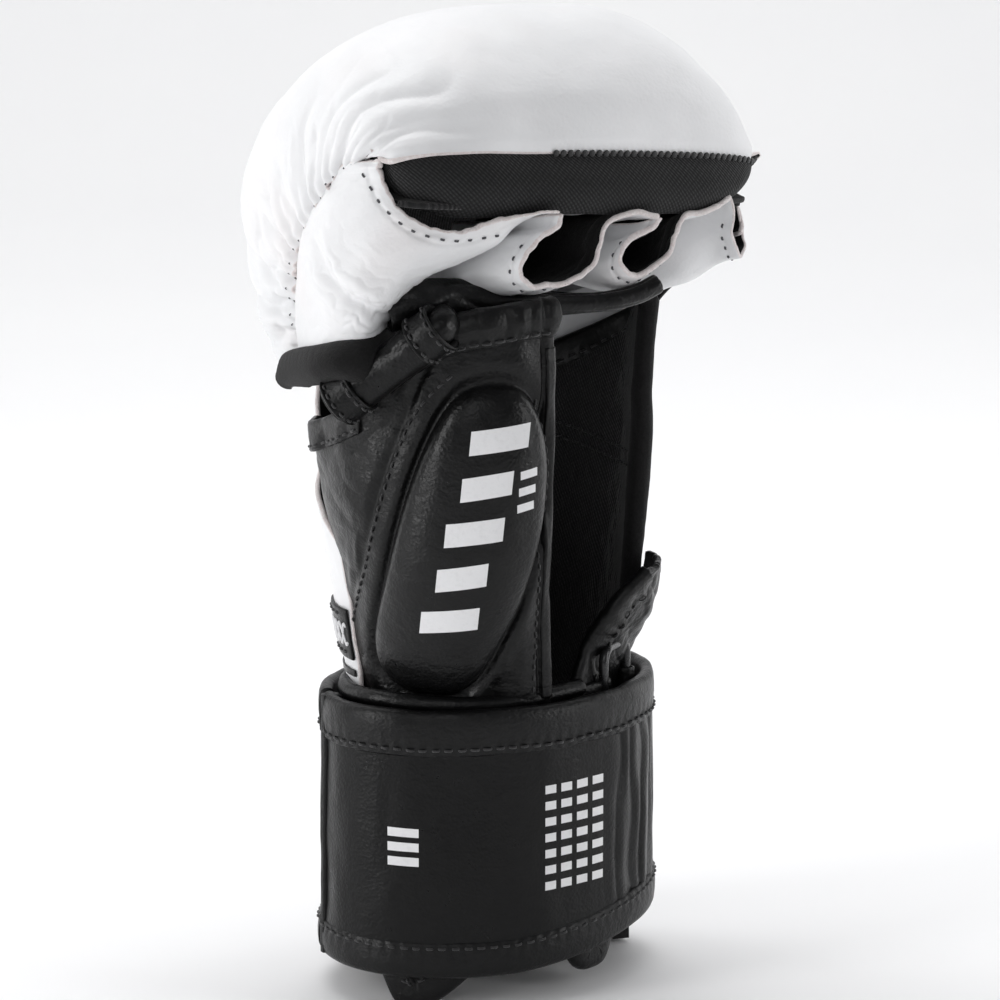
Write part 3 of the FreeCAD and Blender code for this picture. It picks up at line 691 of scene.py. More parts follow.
for k in range(1, 9):
    t = k / 8
    rows.append(bot + np.array([0, -1.2 + 9 * t, -0.2 + 2.8 * math.sin(t * 1.6)]))
L = np.stack(rows, 1)
la, lb = lengths(L)
L = L + normals(L) * (0.25 * vn(la / 16, lb / 9, 71))[..., None]
fl = bool(normals(L)[130, 20] @ np.array([0, -1, 0]) < 0)
o = slab("lip_band", L, 1.8, [KNIT, KNIT_IN, KNIT], flip=fl)
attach(o, "knuckle")
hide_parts("lip_band")
NL = normals(L) * (-1 if fl else 1)

# overlocked scallops along the band's top seam, towards the little-finger side
V, F = [], []
tl = np.concatenate([[0], np.cumsum(np.linalg.norm(np.diff(top, axis=0), axis=1))])
s = tl[-1] * 0.40
while s < tl[-1] * 0.985:
    c = np.array([np.interp(s, tl, top[:, k]) for k in range(3)]) + np.array([0, -0.75, 0.1])
    tg = np.array([np.interp(min(s + 1, tl[-1]), tl, top[:, k]) for k in range(3)]) - np.array([np.interp(s - 1, tl, top[:, k]) for k in range(3)])
    tg = unit(tg)
    up = np.array([0, -0.25, 1.0])
    out = unit(np.cross(tg, up))
    base = len(V)
    for i in range(7):
        for j in range(12):
            ph, th_ = math.pi * (i + 0.5) / 7 - math.pi / 2, 2 * math.pi * j / 12
            V.append(c + tg * 1.02 * math.cos(ph) * math.cos(th_) + up * 0.95 * math.sin(ph) + out * 0.42 * math.cos(ph) * math.sin(th_))
    for i in range(6):
        for j in range(12):
            F.append((base + i * 12 + j, base + i * 12 + (j + 1) % 12, base + (i + 1) * 12 + (j + 1) % 12, base + (i + 1) * 12 + j))
    F.append([base + j for j in range(12)][::-1])
    F.append([base + 72 + j for j in range(12)])
    s += 2.35
o = mesh_object("lip_overlock", V, F, [THREAD_K])
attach(o, "knuckle")

# ---------------------------------------------------------------- white side panel running into the index loop
jj = [0.0, 2.2, 4.4, 6.0, 7.6, 8.9]
E = [(-(float(spl(JJ, WL, j)) - 0.5), float(spl(JJ, [c[0] for c in EL], j)) + 0.7, float(spl(JJ, [c[1] for c in EL], j)) + 0.7) for j in jj]
IDX = np.array([
    [E[0], (-59.5, 1.5, 181.0), (-62.5, -12.0, 184.0), (-61.8, -20.0, 185.8), (-58.0, -24.0, 187.0), (-51.0, -22.0, 189.5), (-43.0, -16.0, 191.5)],
    [E[1], (-62.4, -4.0, 193.0), (-63.2, -15.0, 193.5), (-61.6, -24.0, 195.0), (-56.5, -29.0, 196.5), (-48.5, -28.0, 198.5), (-38.0, -16.0, 199.5)],
    [E[2], (-64.2, -9.5, 208.0), (-64.0, -20.5, 206.0), (-60.6, -30.0, 205.5), (-52.5, -35.8, 205.8), (-41.5, -31.5, 205.0), (-30.0, -16.0, 207.0)],
    [E[3], (-63.9, -19.5, 221.5), (-62.3, -27.5, 216.5), (-56.8, -36.0, 212.5), (-47.0, -40.5, 211.0), (-33.5, -37.0, 209.5), (-22.0, -18.0, 212.0)],
    [E[4], (-61.8, -27.8, 231.0), (-59.2, -33.0, 224.5), (-53.0, -39.5, 218.0), (-42.5, -44.0, 215.2), (-26.5, -43.0, 214.5), (-15.0, -20.0, 217.0)],
    [E[5], (-59.4, -35.0, 234.6), (-57.0, -36.2, 229.0), (-51.5, -39.2, 222.4), (-41.5, -45.2, 218.6), (-26.0, -48.4, 221.6), (-12.5, -51.0, 222.6)]], float)
IDX[5, 0] = (-60.3, -36.0, 237.6)
G = net(IDX, 150, 210)
ga, gb = lengths(G)
NG = normals(G)
if NG[60, 60] @ np.array([-1, -0.5, 0]) < 0:
    NG = -NG
A_, B_ = np.meshgrid(np.linspace(0, 5, 150), np.linspace(0, 6, 210), indexing="ij")
# crease from the middle of the panel down to the palm bar, and puckers where it gathers
cx = A_ - (2.55 - 0.47 * (B_ - 0.6))
near = np.exp(-(((B_ - 2.6) / 1.7) ** 4))
Dg = -1.9 * np.exp(-(cx / 0.15) ** 2) * near + 1.5 * np.exp(-((cx - 0.42) / 0.30) ** 2) * near + 1.0 * np.exp(-((cx + 0.45) / 0.30) ** 2) * near
Dg += near * 0.5 * (ridge(cx * 3.2 + 0.5 * vn(A_ * 3, B_ * 3, 7), 0.8) - 0.6) * np.exp(-(cx / 0.9) ** 2)
gather = np.exp(-(((A_ - 0.2) / 1.5) ** 2)) * np.exp(-(((B_ - 4.6) / 1.1) ** 2))
Dg += 0.75 * (ridge((A_ * 2.6 + 0.5 * vn(A_ * 2, B_ * 2, 5)) * 1.0, 0.8) - 0.6) * gather
Dg += 0.50 * fbm(ga / 16, gb / 16, 81, 3) + 0.10 * fbm(ga / 4, gb / 4, 82, 2) * gather
Dg += 0.9 * np.exp(-((gb - 0) / 3.0) ** 2) * (0 * A_) - 0.7 * np.exp(-(gb / 1.3) ** 2)
rimd = ga[-1:] - ga
Dg -= 0.35 * np.exp(-((rimd - 3.2) / 0.8) ** 2)
rag = 0.30 * vn(gb / 2.2, gb * 0 + 2.0, 91) + 0.12 * vn(gb / 0.9, gb * 0 + 1.0, 92)
G = G + NG * Dg[..., None]
dirn = unit(G[-1] - G[-6])
wt = np.linspace(0, 1, 22) ** 2
G[-22:] += dirn[None] * rag[-1][None, :, None] * wt[:, None, None]
GI = G
th = (1.7 + 0.25 * vn(gb / 2.0, ga / 2.0, 93)) * (1 - 0.55 * sst(4.4, 5.2, B_))
flG = bool((normals(G)[60, 60] @ np.array([-1, -0.5, 0])) < 0)
o = slab("side_panel_thumb_side", G, th, [WHITE, DARK, RAW], flip=flG)
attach(o, "knuckle")
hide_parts("side_panel_index", "index_loop")
NGf = normals(G) * (-1 if flG else 1)
i3 = int(np.argmin(np.abs(rimd[:, 60] - 3.2)))
seam_dots("index_rim_stitches", G[i3, 14:168], NGf[i3, 14:168], THREAD_W, "knuckle", pitch=4.0, length=1.5, r=0.33)
seam_dots("side_seam_stitches", PADCOVER[4, 30:178], (N * 1.0)[4, 30:178], THREAD_W, "knuckle", pitch=4.2, length=0.8, r=0.22, lift=0.0)

# ---------------------------------------------------------------- middle, ring and little finger loops
MID = np.array([(-12.5, -51, 221.6), (-12.8, -50, 218.9), (-17.6, -49, 216.7), (-20.1, -48, 213.9), (-22.3, -47.5, 210.3), (-22.6, -47, 207.1), (-20.3, -46.5, 203.6), (-17.3, -46, 201.6), (-12.7, -46, 201.8), (-7.5, -46, 201.5), (-2.9, -46, 203.0), (1.1, -46, 205.4), (3.8, -46, 208.4), (4.7, -46.5, 213.2), (5.9, -47.5, 217.0), (8.5, -48.5, 219.1), (15.1, -49.5, 219.7), (20.4, -50.5, 218.3)], float)
RNG = np.array([(20.4, -50.5, 218.3), (19.5, -49, 216.1), (15.3, -47.5, 214.1), (12.1, -46.5, 211.0), (11.1, -46, 207.7), (12.9, -45.5, 204.3), (17.3, -45, 201.6), (21.4, -45, 202.3), (25.4, -45, 204.2), (29.5, -45, 206.6), (31.5, -45, 210.8), (32.4, -45.5, 214.6), (34.1, -46, 216.7), (40.3, -46, 217.3), (45.5, -45.5, 218.5), (49.7, -45, 220.3)], float)
PNK = np.array([(49.7, -45, 220.3), (50.8, -44.5, 215.7), (50.6, -44, 211.2), (52.5, -43, 207.6), (57.1, -40, 203.0), (62.0, -36, 204.9), (63.6, -33, 208.8), (63.2, -32, 213.8), (61.2, -33, 218.6)], float)


def loop_leather(name, rim, backs, nodes, seed, body="knuckle", calm=1.0):
    """Leather round one finger: rim at the front, then curves further back, lofted."""
    n = 150
    cs = [resample(rim, n)]
    for B in backs:
        cs.append(resample(np.asarray(B, float), n))
    C = resample(np.array(cs), 70, 0)
    C = np.moveaxis(C, 0, 1)
    a_, b_ = lengths(C)
    r1 = 0.35 * vn(a_[:, 0] / 2.4, a_[:, 0] * 0 + 2, seed) + 0.14 * vn(a_[:, 0] / 1.0, a_[:, 0] * 0 + 5, seed + 1)
    Nn = normals(C)
    cen = C.mean((0, 1)) + np.array([0, 0, 6.0])
    mid = C[n // 2, 20]
    if Nn[n // 2, 20] @ (mid - cen) < 0:
        Nn = -Nn
    pk = np.exp(-((b_ / 9.0) ** 2))
    Dd = 0.40 * fbm(a_ / 9, b_ / 12, seed + 2, 3) + 0.35 * pk * vn(a_ / 3.2, b_ / 9.0, seed + 3) - 0.3 * np.exp(-((b_ - 3.0) / 0.8) ** 2)
    C = C + Nn * Dd[..., None] * calm
    wt = np.linspace(1, 0, 7) ** 1.5
    C[:, :7] += unit(C[:, 0] - C[:, 4])[:, None] * (r1[:, None] * wt[None])[..., None] * calm
    f2 = bool((normals(C)[n // 2, 20] @ (mid - cen)) < 0)
    o = slab(name, C, (1.65 + 0.15 * vn(a_ / 2, b_ / 2, seed + 4)) * (0.4 + 0.6 * calm), [WHITE, DARK, RAW], flip=f2)
    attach(o, body)
    if nodes:
        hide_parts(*nodes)
    Nf = normals(C) * (-1 if f2 else 1)
    jn = int(np.argmin(np.abs(b_[n // 2] - 3.0)))
    seam_dots(name + "_stitches", C[20:n - 44, jn], Nf[20:n - 44, jn], THREAD_W, body, pitch=3.8, length=1.4, r=0.32)
    return C


def shifted(R, d, s=1.0, sz=1.0):
    c = R.mean(0)
    return (R - c) * np.array([s, 1, sz]) + c + np.array(d)


M1 = shifted(MID, (-2.5, 8, -1.8), 1.06, 1.06)
M2 = shifted(MID, (-7, 20, -3.6), 1.10, 1.0)
M3 = shifted(MID, (-11, 33, -4.0), 1.05, 0.9)
loop_leather("middle_finger_loop", MID, [M1, M2, M3], ["middle_loop"], 101)
R1 = shifted(RNG, (-1.5, 7, -3.0), 1.04, 1.12)
R2 = shifted(RNG, (-4, 18, -4.0), 1.04, 1.05)
R3 = shifted(RNG, (-6, 31, -4.0), 1.0, 0.9)
loop_leather("ring_finger_loop", RNG, [R1, R2, R3], ["ring_loop"], 121)
Pk1 = shifted(PNK, (-2.5, 6, -1.5), 1.02, 1.05)
Pk2 = np.array([(43, -30, 216), (41, -29.5, 209), (41.5, -29, 202.5), (45, -28, 197.5), (52, -24, 195), (59, -18, 196.5), (62.3, -14, 202), (63.2, -12, 209), (62.8, -10, 214)], float)
Pk3 = np.array([(35, -14, 218), (33, -14, 208), (34, -14, 199), (38.5, -13, 193), (46, -10, 189.5), (54, -4, 188.5), (59.8, 0, 192.5), (61.8, 3, 198), (61.9, 4, 203)], float)
loop_leather("little_finger_loop", PNK, [Pk1, Pk2, Pk3], ["pinky_loop"], 141, calm=0.35)

# little-finger side panel
er = [(float(spl(JJ, WR, j)) - 0.2, float(spl(JJ, [c[0] for c in ER], j)) - 0.6, float(spl(JJ, [c[1] for c in ER], j)) - 0.4) for j in jj]
SP = np.array([
    [er[0], (52.2, 11, 171.8), (52.4, 10, 172.4), (51.5, 9.5, 173.4), (49.0, 9.0, 174.4)],
    [er[1], (56.8, 8.5, 183.0), (56.8, 6.5, 183.0), (55.0, 4.0, 184.0), (51.5, 2.5, 185.5)],
    [er[2], (60.8, 4.5, 193.5), (60.8, 1.5, 193.0), (59.0, -1.5, 194.0), (55.5, -4.0, 195.0)],
    [er[3], (63.0, -4.5, 201.5), (63.0, -9.0, 200.0), (61.5, -12.5, 200.0), (58.0, -15.0, 200.5)],
    [er[4], (64.3, -15.0, 209.0), (64.3, -20.0, 206.0), (63.0, -23.5, 205.0), (60.5, -26.0, 205.0)],
    [er[5], (64.6, -28.5, 218.5), (64.6, -31.0, 214.0), (64, -33.0, 210.5), (62.5, -34, 208.5)]], float)
G2 = net(SP, 90, 70)
a2, b2 = lengths(G2)
N2 = normals(G2)
if N2[45, 30] @ np.array([1, 0, 0]) < 0:
    N2 = -N2
G2 = G2 + N2 * (0.3 * fbm(a2 / 12, b2 / 12, 151, 3) - 0.8 * np.exp(-(b2 / 1.6) ** 2))[..., None]
f2 = bool((normals(G2)[45, 30] @ np.array([1, 0, 0])) < 0)
o = slab("side_panel_little_finger", G2, 1.5, [WHITE, DARK, RAW], flip=f2)
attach(o, "knuckle")
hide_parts("side_panel_pinky")

# rear closing strip of the pad, binding and inner facing
def band(name, A, B, out, bulge, thick, mats, body, n=200, k=14, flip=False, nodes=(), seed=7, puck=0.0, pitch=3.6, power=0.7):
    """Bulged strip between two edge curves."""
    A, B = arc(A, n), arc(B, n)
    out = unit(np.broadcast_to(np.asarray(out, float), (n, 3))) if np.ndim(out) == 1 else unit(arc(out, n))
    s = np.concatenate([[0], np.cumsum(np.linalg.norm(np.diff(A, axis=0), axis=1))])
    G = []
    for i in range(k):
        t = i / (k - 1)
        w = bulge * math.sin(math.pi * t) ** power + puck * np.cos(2 * math.pi * s / pitch) * math.exp(-((t - 0.2) / 0.16) ** 2) + 0.14 * vn(s / 6.0, s * 0 + t * 3, seed)
        G.append(A * (1 - t) + B * t + out * np.broadcast_to(w, (n,))[:, None])
    G = np.stack(G, 1)
    o = slab(name, G, thick, mats, flip=flip)
    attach(o, body)
    if nodes:
        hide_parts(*nodes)
    Ng = normals(G) * (-1 if flip else 1)
    return G, Ng


rear_o = PADCOVER[3:NQ - 3:3, 0]
rear_i = Pi[2:-2, 0]
band("pad_rear_strip", rear_o, rear_i, (0, 0, -1), 1.6, 1.2, [BIND, DARK, BIND], "knuckle", nodes=["pad_rear_binding"], flip=True)
qf = np.linspace(0.60, 0.96, 60)
FQ, FT = np.meshgrid(qf, np.linspace(0.0, 0.30, 30), indexing="ij")
Fp = pad(FQ, FT, "i") + (np.array([0, 0, 0]) - 0)
fn = normals(Fp)
fl = bool(fn[30, 15] @ tow < 0)
Fp = Fp + fn * (-1 if fl else 1) * 1.2
o = slab("inner_facing", Fp, 1.0, [WHITE, DARK, WHITE], flip=fl)
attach(o, "knuckle")
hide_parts("inner_facing")

# ---------------------------------------------------------------- bound lower edge, thumb side and little-finger side
I0 = curve([(-53.5, 19.5, 173.5), (-56.0, 14.0, 178.0), (-59.9, 1.1, 181.9), (-62.9, -12.0, 184.6), (-62.2, -20.5, 186.6), (-58.2, -24.6, 187.8), (-51.5, -22.5, 190.0), (-44, -16.0, 192.0)], 240)
I1 = curve([(-53.2, 18.8, 171.5), (-55.5, 13.0, 173.2), (-59.5, -0.8, 175.6), (-62.5, -13.0, 178.4), (-61.8, -21.5, 180.6), (-57.5, -25.6, 179.8), (-51.0, -23.5, 181.6), (-44, -17.0, 184.0)], 240)
Gb, Nb = band("side_binding_thumb_side", I0, I1, (-0.8, -0.6, 0), 2.7, 2.6, [BIND, DARK, BIND], "knuckle", n=300, flip=False, nodes=["side_binding_index"], puck=0.05)
if Nb[150, 7] @ np.array([-0.8, -0.6, 0]) < 0:
    Nb = -Nb
o = stitches("side_binding_thumb_side_stitches", Gb[4:-4, 3], Nb[4:-4, 3], THREAD_K, lift=0.05)
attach(o, "knuckle")
J0 = curve([(51.5, 14, 171.4), (52.6, 9, 173.5), (56.4, 5.0, 184.0), (60.3, -0.5, 193.5), (62.0, -11.0, 200.5)], 160)
J1 = curve([(50.5, 13, 167.5), (51.4, 8.0, 169.8), (54.8, 3.8, 180.0), (58.6, -2.0, 189.6), (60.6, -12.0, 196.8)], 160)
band("side_binding_little_finger", J0, J1, (0.8, -0.4, 0), 1.0, 2.0, [BIND, DARK, BIND], "knuckle", n=160, flip=True, nodes=["side_binding_pinky"])

# ---------------------------------------------------------------- palm bar and thumb roll
def roll(name, pts, rs, mat, body, folds=6, amp=0.09, hollow=1.2, nodes=(), seed=9, squash=1.0):
    p = curve(pts, 90)
    s = np.concatenate([[0], np.cumsum(np.linalg.norm(np.diff(p, axis=0), axis=1))])
    r = np.interp(np.linspace(0, 1, 90), np.linspace(0, 1, len(rs)), rs)

    def shp(A, S):
        L = s[-1]
        w = vn(S * L / 9.0 + 3, A * 1.2, seed)
        return 1 + amp * (ridge(A * folds / (2 * math.pi) + 0.4 * w + S * 0.8, 0.7) - 0.6) * (0.5 + 0.5 * vn(S * L / 14.0, A * 0.9 + 3, seed + 1)) + 0.035 * fbm(S * L / 7.0, A * 1.6, seed + 2, 2)
    o = tube(name, p, r, mat, sides=72, hollow=hollow, shape=shp, inner=DARK)
    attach(o, body)
    if nodes:
        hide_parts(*nodes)
    return p, r


roll("palm_bar", [(-50, -25, 195.5), (-42, -27.5, 198.0), (-31, -29.5, 198.0), (-20, -33, 196.6), (-10, -36, 196.0), (2, -39.5, 195.4), (12, -42, 195.6), (20, -43, 197.0), (25.5, -43.5, 199.0)],
     [5.2, 6.0, 5.8, 5.2, 4.0, 3.0, 2.6, 2.7, 2.8], BLACK_SOFT, "knuckle", nodes=["palm_bar", "palm_bar_core"], folds=7, amp=0.24)
TR0, TR1 = np.array([-61.2, -17.0, 171.0]), np.array([-43.0, -39.8, 193.2])
TR2, TR3 = np.array([-38.0, -33.0, 194.6]), np.array([-32.0, -26.5, 195.6])
rp_, rr_ = roll("thumb_roll", [TR0, TR0 * 0.5 + TR1 * 0.5 + np.array([0, 0, -0.4]), TR1, TR2, TR3], [5.9, 5.7, 5.6, 4.0, 2.6], BLACK_SOFT, "thumb", nodes=["thumb_roll"], folds=5, amp=0.10, seed=19)


def keeper(name, f0, f1, node, seed, r0=5.9):
    c = TR0 + (TR1 - TR0) * ((f0 + f1) / 2)
    p = curve([TR0 + (TR1 - TR0) * f0, c, TR0 + (TR1 - TR0) * f1], 40)
    t = unit(TR1 - TR0)

    def shp(A, S):
        edge = 0.10 * np.exp(-((S - 0.04) / 0.07) ** 2) + 0.10 * np.exp(-((S - 0.96) / 0.07) ** 2)
        return 1 + edge + 0.03 * fbm(S * 2, A * 1.3, seed, 2)
    o = tube(name, p, r0, BIND, sides=64, hollow=1.0, shape=shp, inner=DARK)
    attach(o, "thumb")
    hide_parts(node)
    _, n_, b_ = frames(p)
    for q_, tag in ((0.16, "a"), (0.84, "b")):
        k = int(q_ * 39)
        a = np.linspace(0, 2 * math.pi, 60)
        ring = p[k] + (r0 * 1.03) * (np.cos(a)[:, None] * n_[k] + np.sin(a)[:, None] * b_[k])
        o = stitches(name + "_stitches_" + tag, ring, unit(ring - p[k]), THREAD_K, pitch=3.2, length=2.0, lift=0.1)
        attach(o, "thumb")


keeper("roll_keeper_lower", 0.02, 0.24, "roll_keeper_lower", 23, 6.7)
keeper("roll_keeper_upper", 0.80, 1.02, "roll_keeper_upper", 29, 6.6)

# ---------------------------------------------------------------- thumb panel with its oval pad
NZ, NU = 300, 230
TG = net(TP, NZ, NU)
P = uw(TG[..., 0], TG[..., 1], TG[..., 2])
N = normals(P)
vdir = np.array([-SA, -CA, 0])
if N[150, 120] @ vdir < 0:
    N = -N
U, Z = TG[..., 0], TG[..., 2]
UCZ, UCV = [80, 101, 118, 140, 168, 180], [-17.2, -14.0, -9.1, -4.4, 0.4, 1.8]
HWV = [16.5, 17.8, 19.2, 19.0, 15.6, 14.0]
uc = spl(UCZ, UCV, Z)
zc, hz = 131.5, 45.0
hw = spl(UCZ, HWV, Z)
f = (np.abs((U - uc) / hw) ** 3.0 + np.abs((Z - zc) / hz) ** 4.0) ** (1 / 3.3)
inside = np.clip(1 - f, 0, 1)
dist = (f - 1) * hw
H = 7.2 * (1 - np.clip(f, 0, 1) ** 3.0) ** 0.62
H += 0.9 * np.exp(-((dist - 2.0) / 3.2) ** 2) - 1.4 * np.exp(-((dist - 0.2) / 1.1) ** 2) - 0.55 * np.exp(-((dist - 6.8) / 0.9) ** 2) * (U < uc + 4)
pa, pb = lengths(P)
edge_r = pb[:, -1:] - pb
edge_l = pb
wr = np.clip(1 - sst(-6, 6, U - uc), 0, 1) * sst(4.5, 9, dist)
lw = fbm(U / 9 + 0.6 * vn(Z / 14, U / 10, 201), Z / 34, 203, 3)
H += wr * (0.85 * lw + 0.35 * (ridge((Z * 0.75 + U * 0.6) / 13.0 + 0.8 * vn(Z / 22, U / 12, 205), 0.8) - 0.6))
H += 0.30 * fbm(U / 7, Z / 9, 207, 3) * sst(0, 6, dist) + 0.12 * fbm(U / 10, Z / 12, 209, 3)
rw = sst(0, 10, U - uc - hw + 2)
H += rw * 0.5 * fbm(U / 5, Z / 18, 211, 2)
H -= 0.9 * np.exp(-((edge_r - 3.4) / 0.55) ** 2)
H += 0.5 * np.exp(-((edge_r - 1.2) / 1.6) ** 2)
base_w = 1 - sst(70, 96, Z)
H += base_w * (1.5 * (ridge(U / 8.5 + 0.6 * vn(U / 9, Z / 9, 213), 0.8) - 0.6) + 0.4 * fbm(U / 5, Z / 8, 215, 2))
P = P + N * H[..., None]
TPN = normals(P)
flT = bool(TPN[150, 120] @ vdir < 0)
TPN = TPN * (-1 if flT else 1)
thumb_o = slab("thumb_panel", P, 1.7, [BLACK_SOFT, KNIT_IN, BIND], flip=flT)
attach(thumb_o, "thumb")
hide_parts("thumb_panel", "thumb_pad_cover", "thumb_pad_foam")
THUMB = P
# lining a little behind the panel
TG2 = net(TP, 90, 70)
Pl = uw(TG2[..., 0], TG2[..., 1], TG2[..., 2])
Nl_ = normals(Pl)
if Nl_[45, 35] @ vdir < 0:
    Nl_ = -Nl_
Pl = Pl - Nl_ * 3.6
fl2 = bool(normals(Pl)[45, 35] @ vdir < 0)
o = slab("thumb_lining", Pl, 1.4, [DARK, KNIT_IN, KNIT_IN], flip=fl2)
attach(o, "thumb")
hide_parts("thumb_lining")

# stitched line round the oval
def contour(grid_f, level, pts):
    out = []
    for u_, z_ in pts:
        out.append((u_, z_))
    return out


def surf_at(Pg, Ng, Ug, Zg, uz):
    """Nearest grid point with a local linear step, for curves drawn on the panel."""
    res, rn = [], []
    for u_, z_ in uz:
        d2 = (Ug - u_) ** 2 + (Zg - z_) ** 2
        k = int(np.argmin(d2))
        i, j = divmod(k, Ug.shape[1])
        i, j = min(max(i, 1), Ug.shape[0] - 2), min(max(j, 1), Ug.shape[1] - 2)
        Au = np.array([[Ug[i + 1, j] - Ug[i - 1, j], Ug[i, j + 1] - Ug[i, j - 1]], [Zg[i + 1, j] - Zg[i - 1, j], Zg[i, j + 1] - Zg[i, j - 1]]]) / 2
        x = np.linalg.lstsq(Au, np.array([u_ - Ug[i, j], z_ - Zg[i, j]]), rcond=None)[0]
        x = np.clip(x, -1, 1)
        res.append(Pg[i, j] + (Pg[i + 1, j] - Pg[i - 1, j]) / 2 * x[0] + (Pg[i, j + 1] - Pg[i, j - 1]) / 2 * x[1])
        rn.append(Ng[i, j])
    return np.array(res), unit(np.array(rn))


line = []
for z_ in np.linspace(92, 181, 80):
    h_ = float(spl(UCZ, HWV, z_))
    line.append((float(spl(UCZ, UCV, z_)) - h_ * (1 - min(0.999, abs(z_ - zc) / (hz + 6)) ** 4.0) ** (1 / 3.0) - 6.2 * (1 - 0.6 * sst(165, 182, z_)), z_))
lp, ln = surf_at(P, TPN, U, Z, line)
o = stitches("thumb_pad_stitches", lp, ln, THREAD_K, pitch=3.4, length=2.3, r=0.34, lift=0.12)
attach(o, "thumb")
er_, = (P[10:-24, -14],)
o = stitches("thumb_edge_stitches", P[50:-30, -17], TPN[50:-30, -17], THREAD_K, pitch=3.4, length=2.3, r=0.30, lift=0.02)
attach(o, "thumb")

# bound top edge: flat binding on the thumb side, a fat roll across the palm side
kcut = int(NU * 0.42)
tpath = arc(P[-1, 12:kcut], 200)
tin = unit(arc(P[-12, 12:kcut], 200) - tpath)
tn = unit(arc(TPN[-6, 12:kcut], 200))
o = binding("thumb_top_binding", tpath - tn * 0.5, tin, tn, BIND, w=8.2, h=1.7, b=1.5, pucker=0.18, w2=5)
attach(o, "thumb")
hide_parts("thumb_top_binding")
o = stitches("thumb_top_stitches", (tpath + tin * 6.6 + tn * 1.05)[4:-4], tn[4:-4], THREAD_K, lift=0.10)
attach(o, "thumb")
kk = int(NU * 0.50)
rpath = arc(P[-1, kk:], 120)
rn_ = unit(arc(TPN[-6, kk:], 120))
rpath = rpath + np.array([0, 0, 1.0]) * (3.2 + 1.2 * np.linspace(0, 1, 120))[:, None] - rn_ * 0.6
ra = np.linspace(0, 2 * math.pi, 57)
rt = unit(np.gradient(rpath, axis=0))
rs_ = np.concatenate([[0], np.cumsum(np.linalg.norm(np.diff(rpath, axis=0), axis=1))])
RG = []
for a_ in ra:
    w_ = 0.22 * vn(rs_ / 6.0, rs_ * 0 + 2.0 * math.cos(a_) + 3, 601) + 0.12 * np.cos(2 * math.pi * rs_ / 3.6) * math.exp(-((math.sin(a_) + 0.8) / 0.25) ** 2)
    up_ = (4.9 + w_)[:, None] * math.sin(a_) * np.array([0, 0, 1.0]) * (1.0 if math.sin(a_) > 0 else 1.25)
    RG.append(rpath + up_ + rn_ * ((3.6 + w_) * math.cos(a_) * (1 - 0.35 * max(0, -math.sin(a_))))[:, None])
RG = np.array(RG)
o = slab("thumb_top_roll", RG, 1.2, [BIND, DARK, BIND], wrap=True, flip=bool(normals(RG, True)[0, 60] @ rn_[60] < 0))
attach(o, "thumb")
o = stitches("thumb_top_roll_stitches", (rpath + rn_ * 2.55 - np.array([0, 0, 4.3]))[3:-3], rn_[3:-3], THREAD_K, lift=0.25)
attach(o, "thumb")
epath = arc(P[46:-8, -1], 200)
ein = unit(arc(P[46:-8, -6], 200) - epath)
en = unit(arc(TPN[46:-8, -3], 200))
o = binding("thumb_edge_binding", epath - en * 0.8, ein, en, BIND, w=2.6, h=1.1, b=0.9, pucker=0.05, w2=2.6, seed=4)
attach(o, "thumb")
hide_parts("thumb_edge_binding")

# ---------------------------------------------------------------- printed marks (plain generic shapes)
from mathutils.bvhtree import BVHTree


def bvh(Pg):
    n, m = Pg.shape[:2]
    ii, jj_ = np.meshgrid(np.arange(n - 1), np.arange(m - 1), indexing="ij")
    q_ = np.stack([ii * m + jj_, (ii + 1) * m + jj_, (ii + 1) * m + jj_ + 1, ii * m + jj_ + 1], -1).reshape(-1, 4)
    return BVHTree.FromPolygons([tuple(v) for v in Pg.reshape(-1, 3).tolist()], [tuple(f_) for f_ in q_.tolist()])


def decal(name, shapes, org, ax, ay, ray, tree, body, lift=0.07, mat=None):
    """Flat printed shapes laid on a surface. Each shape is a pair of edge curves (m,2)."""
    V, F = [], []
    org, ax, ay, ray = (np.asarray(v, float) for v in (org, ax, ay, ray))
    for A, B in shapes:
        A, B = np.asarray(A, float), np.asarray(B, float)
        m = max(2, int(max(np.linalg.norm(np.diff(A, axis=0), axis=1).sum(), np.linalg.norm(np.diff(B, axis=0), axis=1).sum()) / 0.7))
        w = max(1, int(np.linalg.norm(A - B, axis=1).max() / 0.7))
        pad3 = lambda X: arc(np.concatenate([X, np.zeros((len(X), 1))], 1), m)[:, :2]
        A, B = pad3(A), pad3(B)
        base = len(V)
        for k in range(w + 1):
            for x, y in A + (B - A) * k / w:
                o3 = org + ax * x + ay * y
                hit, nn, _, _ = tree.ray_cast(Vector(o3 - ray * 60), Vector(ray))
                if hit is None:
                    hit, nn, _, _ = tree.find_nearest(Vector(o3))
                nn = np.array(nn)
                if nn @ ray > 0:
                    nn = -nn
                V.append(np.array(hit) + nn * lift)
        for k in range(w):
            for i in range(m - 1):
                F.append((base + k * m + i, base + k * m + i + 1, base + (k + 1) * m + i + 1, base + (k + 1) * m + i))
    o = mesh_object(name, V, F, [mat or INK])
    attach(o, body)
    return o


def para(x, y, w, h, sk=0.0, rot=0.0):
    c_, s_ = math.cos(rot), math.sin(rot)
    P4 = np.array([(-w / 2, -h / 2), (w / 2, -h / 2 + sk), (-w / 2, h / 2), (w / 2, h / 2 + sk)])
    P4 = P4 @ np.array([[c_, s_], [-s_, c_]]) + np.array([x, y])
    return P4[:2], P4[2:]


def arcband(x, y, r0, r1, a0, a1, sx=1.0):
    a = np.radians(np.linspace(a0, a1, 40))
    e = np.stack([np.cos(a) * sx, np.sin(a)], 1)
    return e * r0 + (x, y), e * r1 + (x, y)


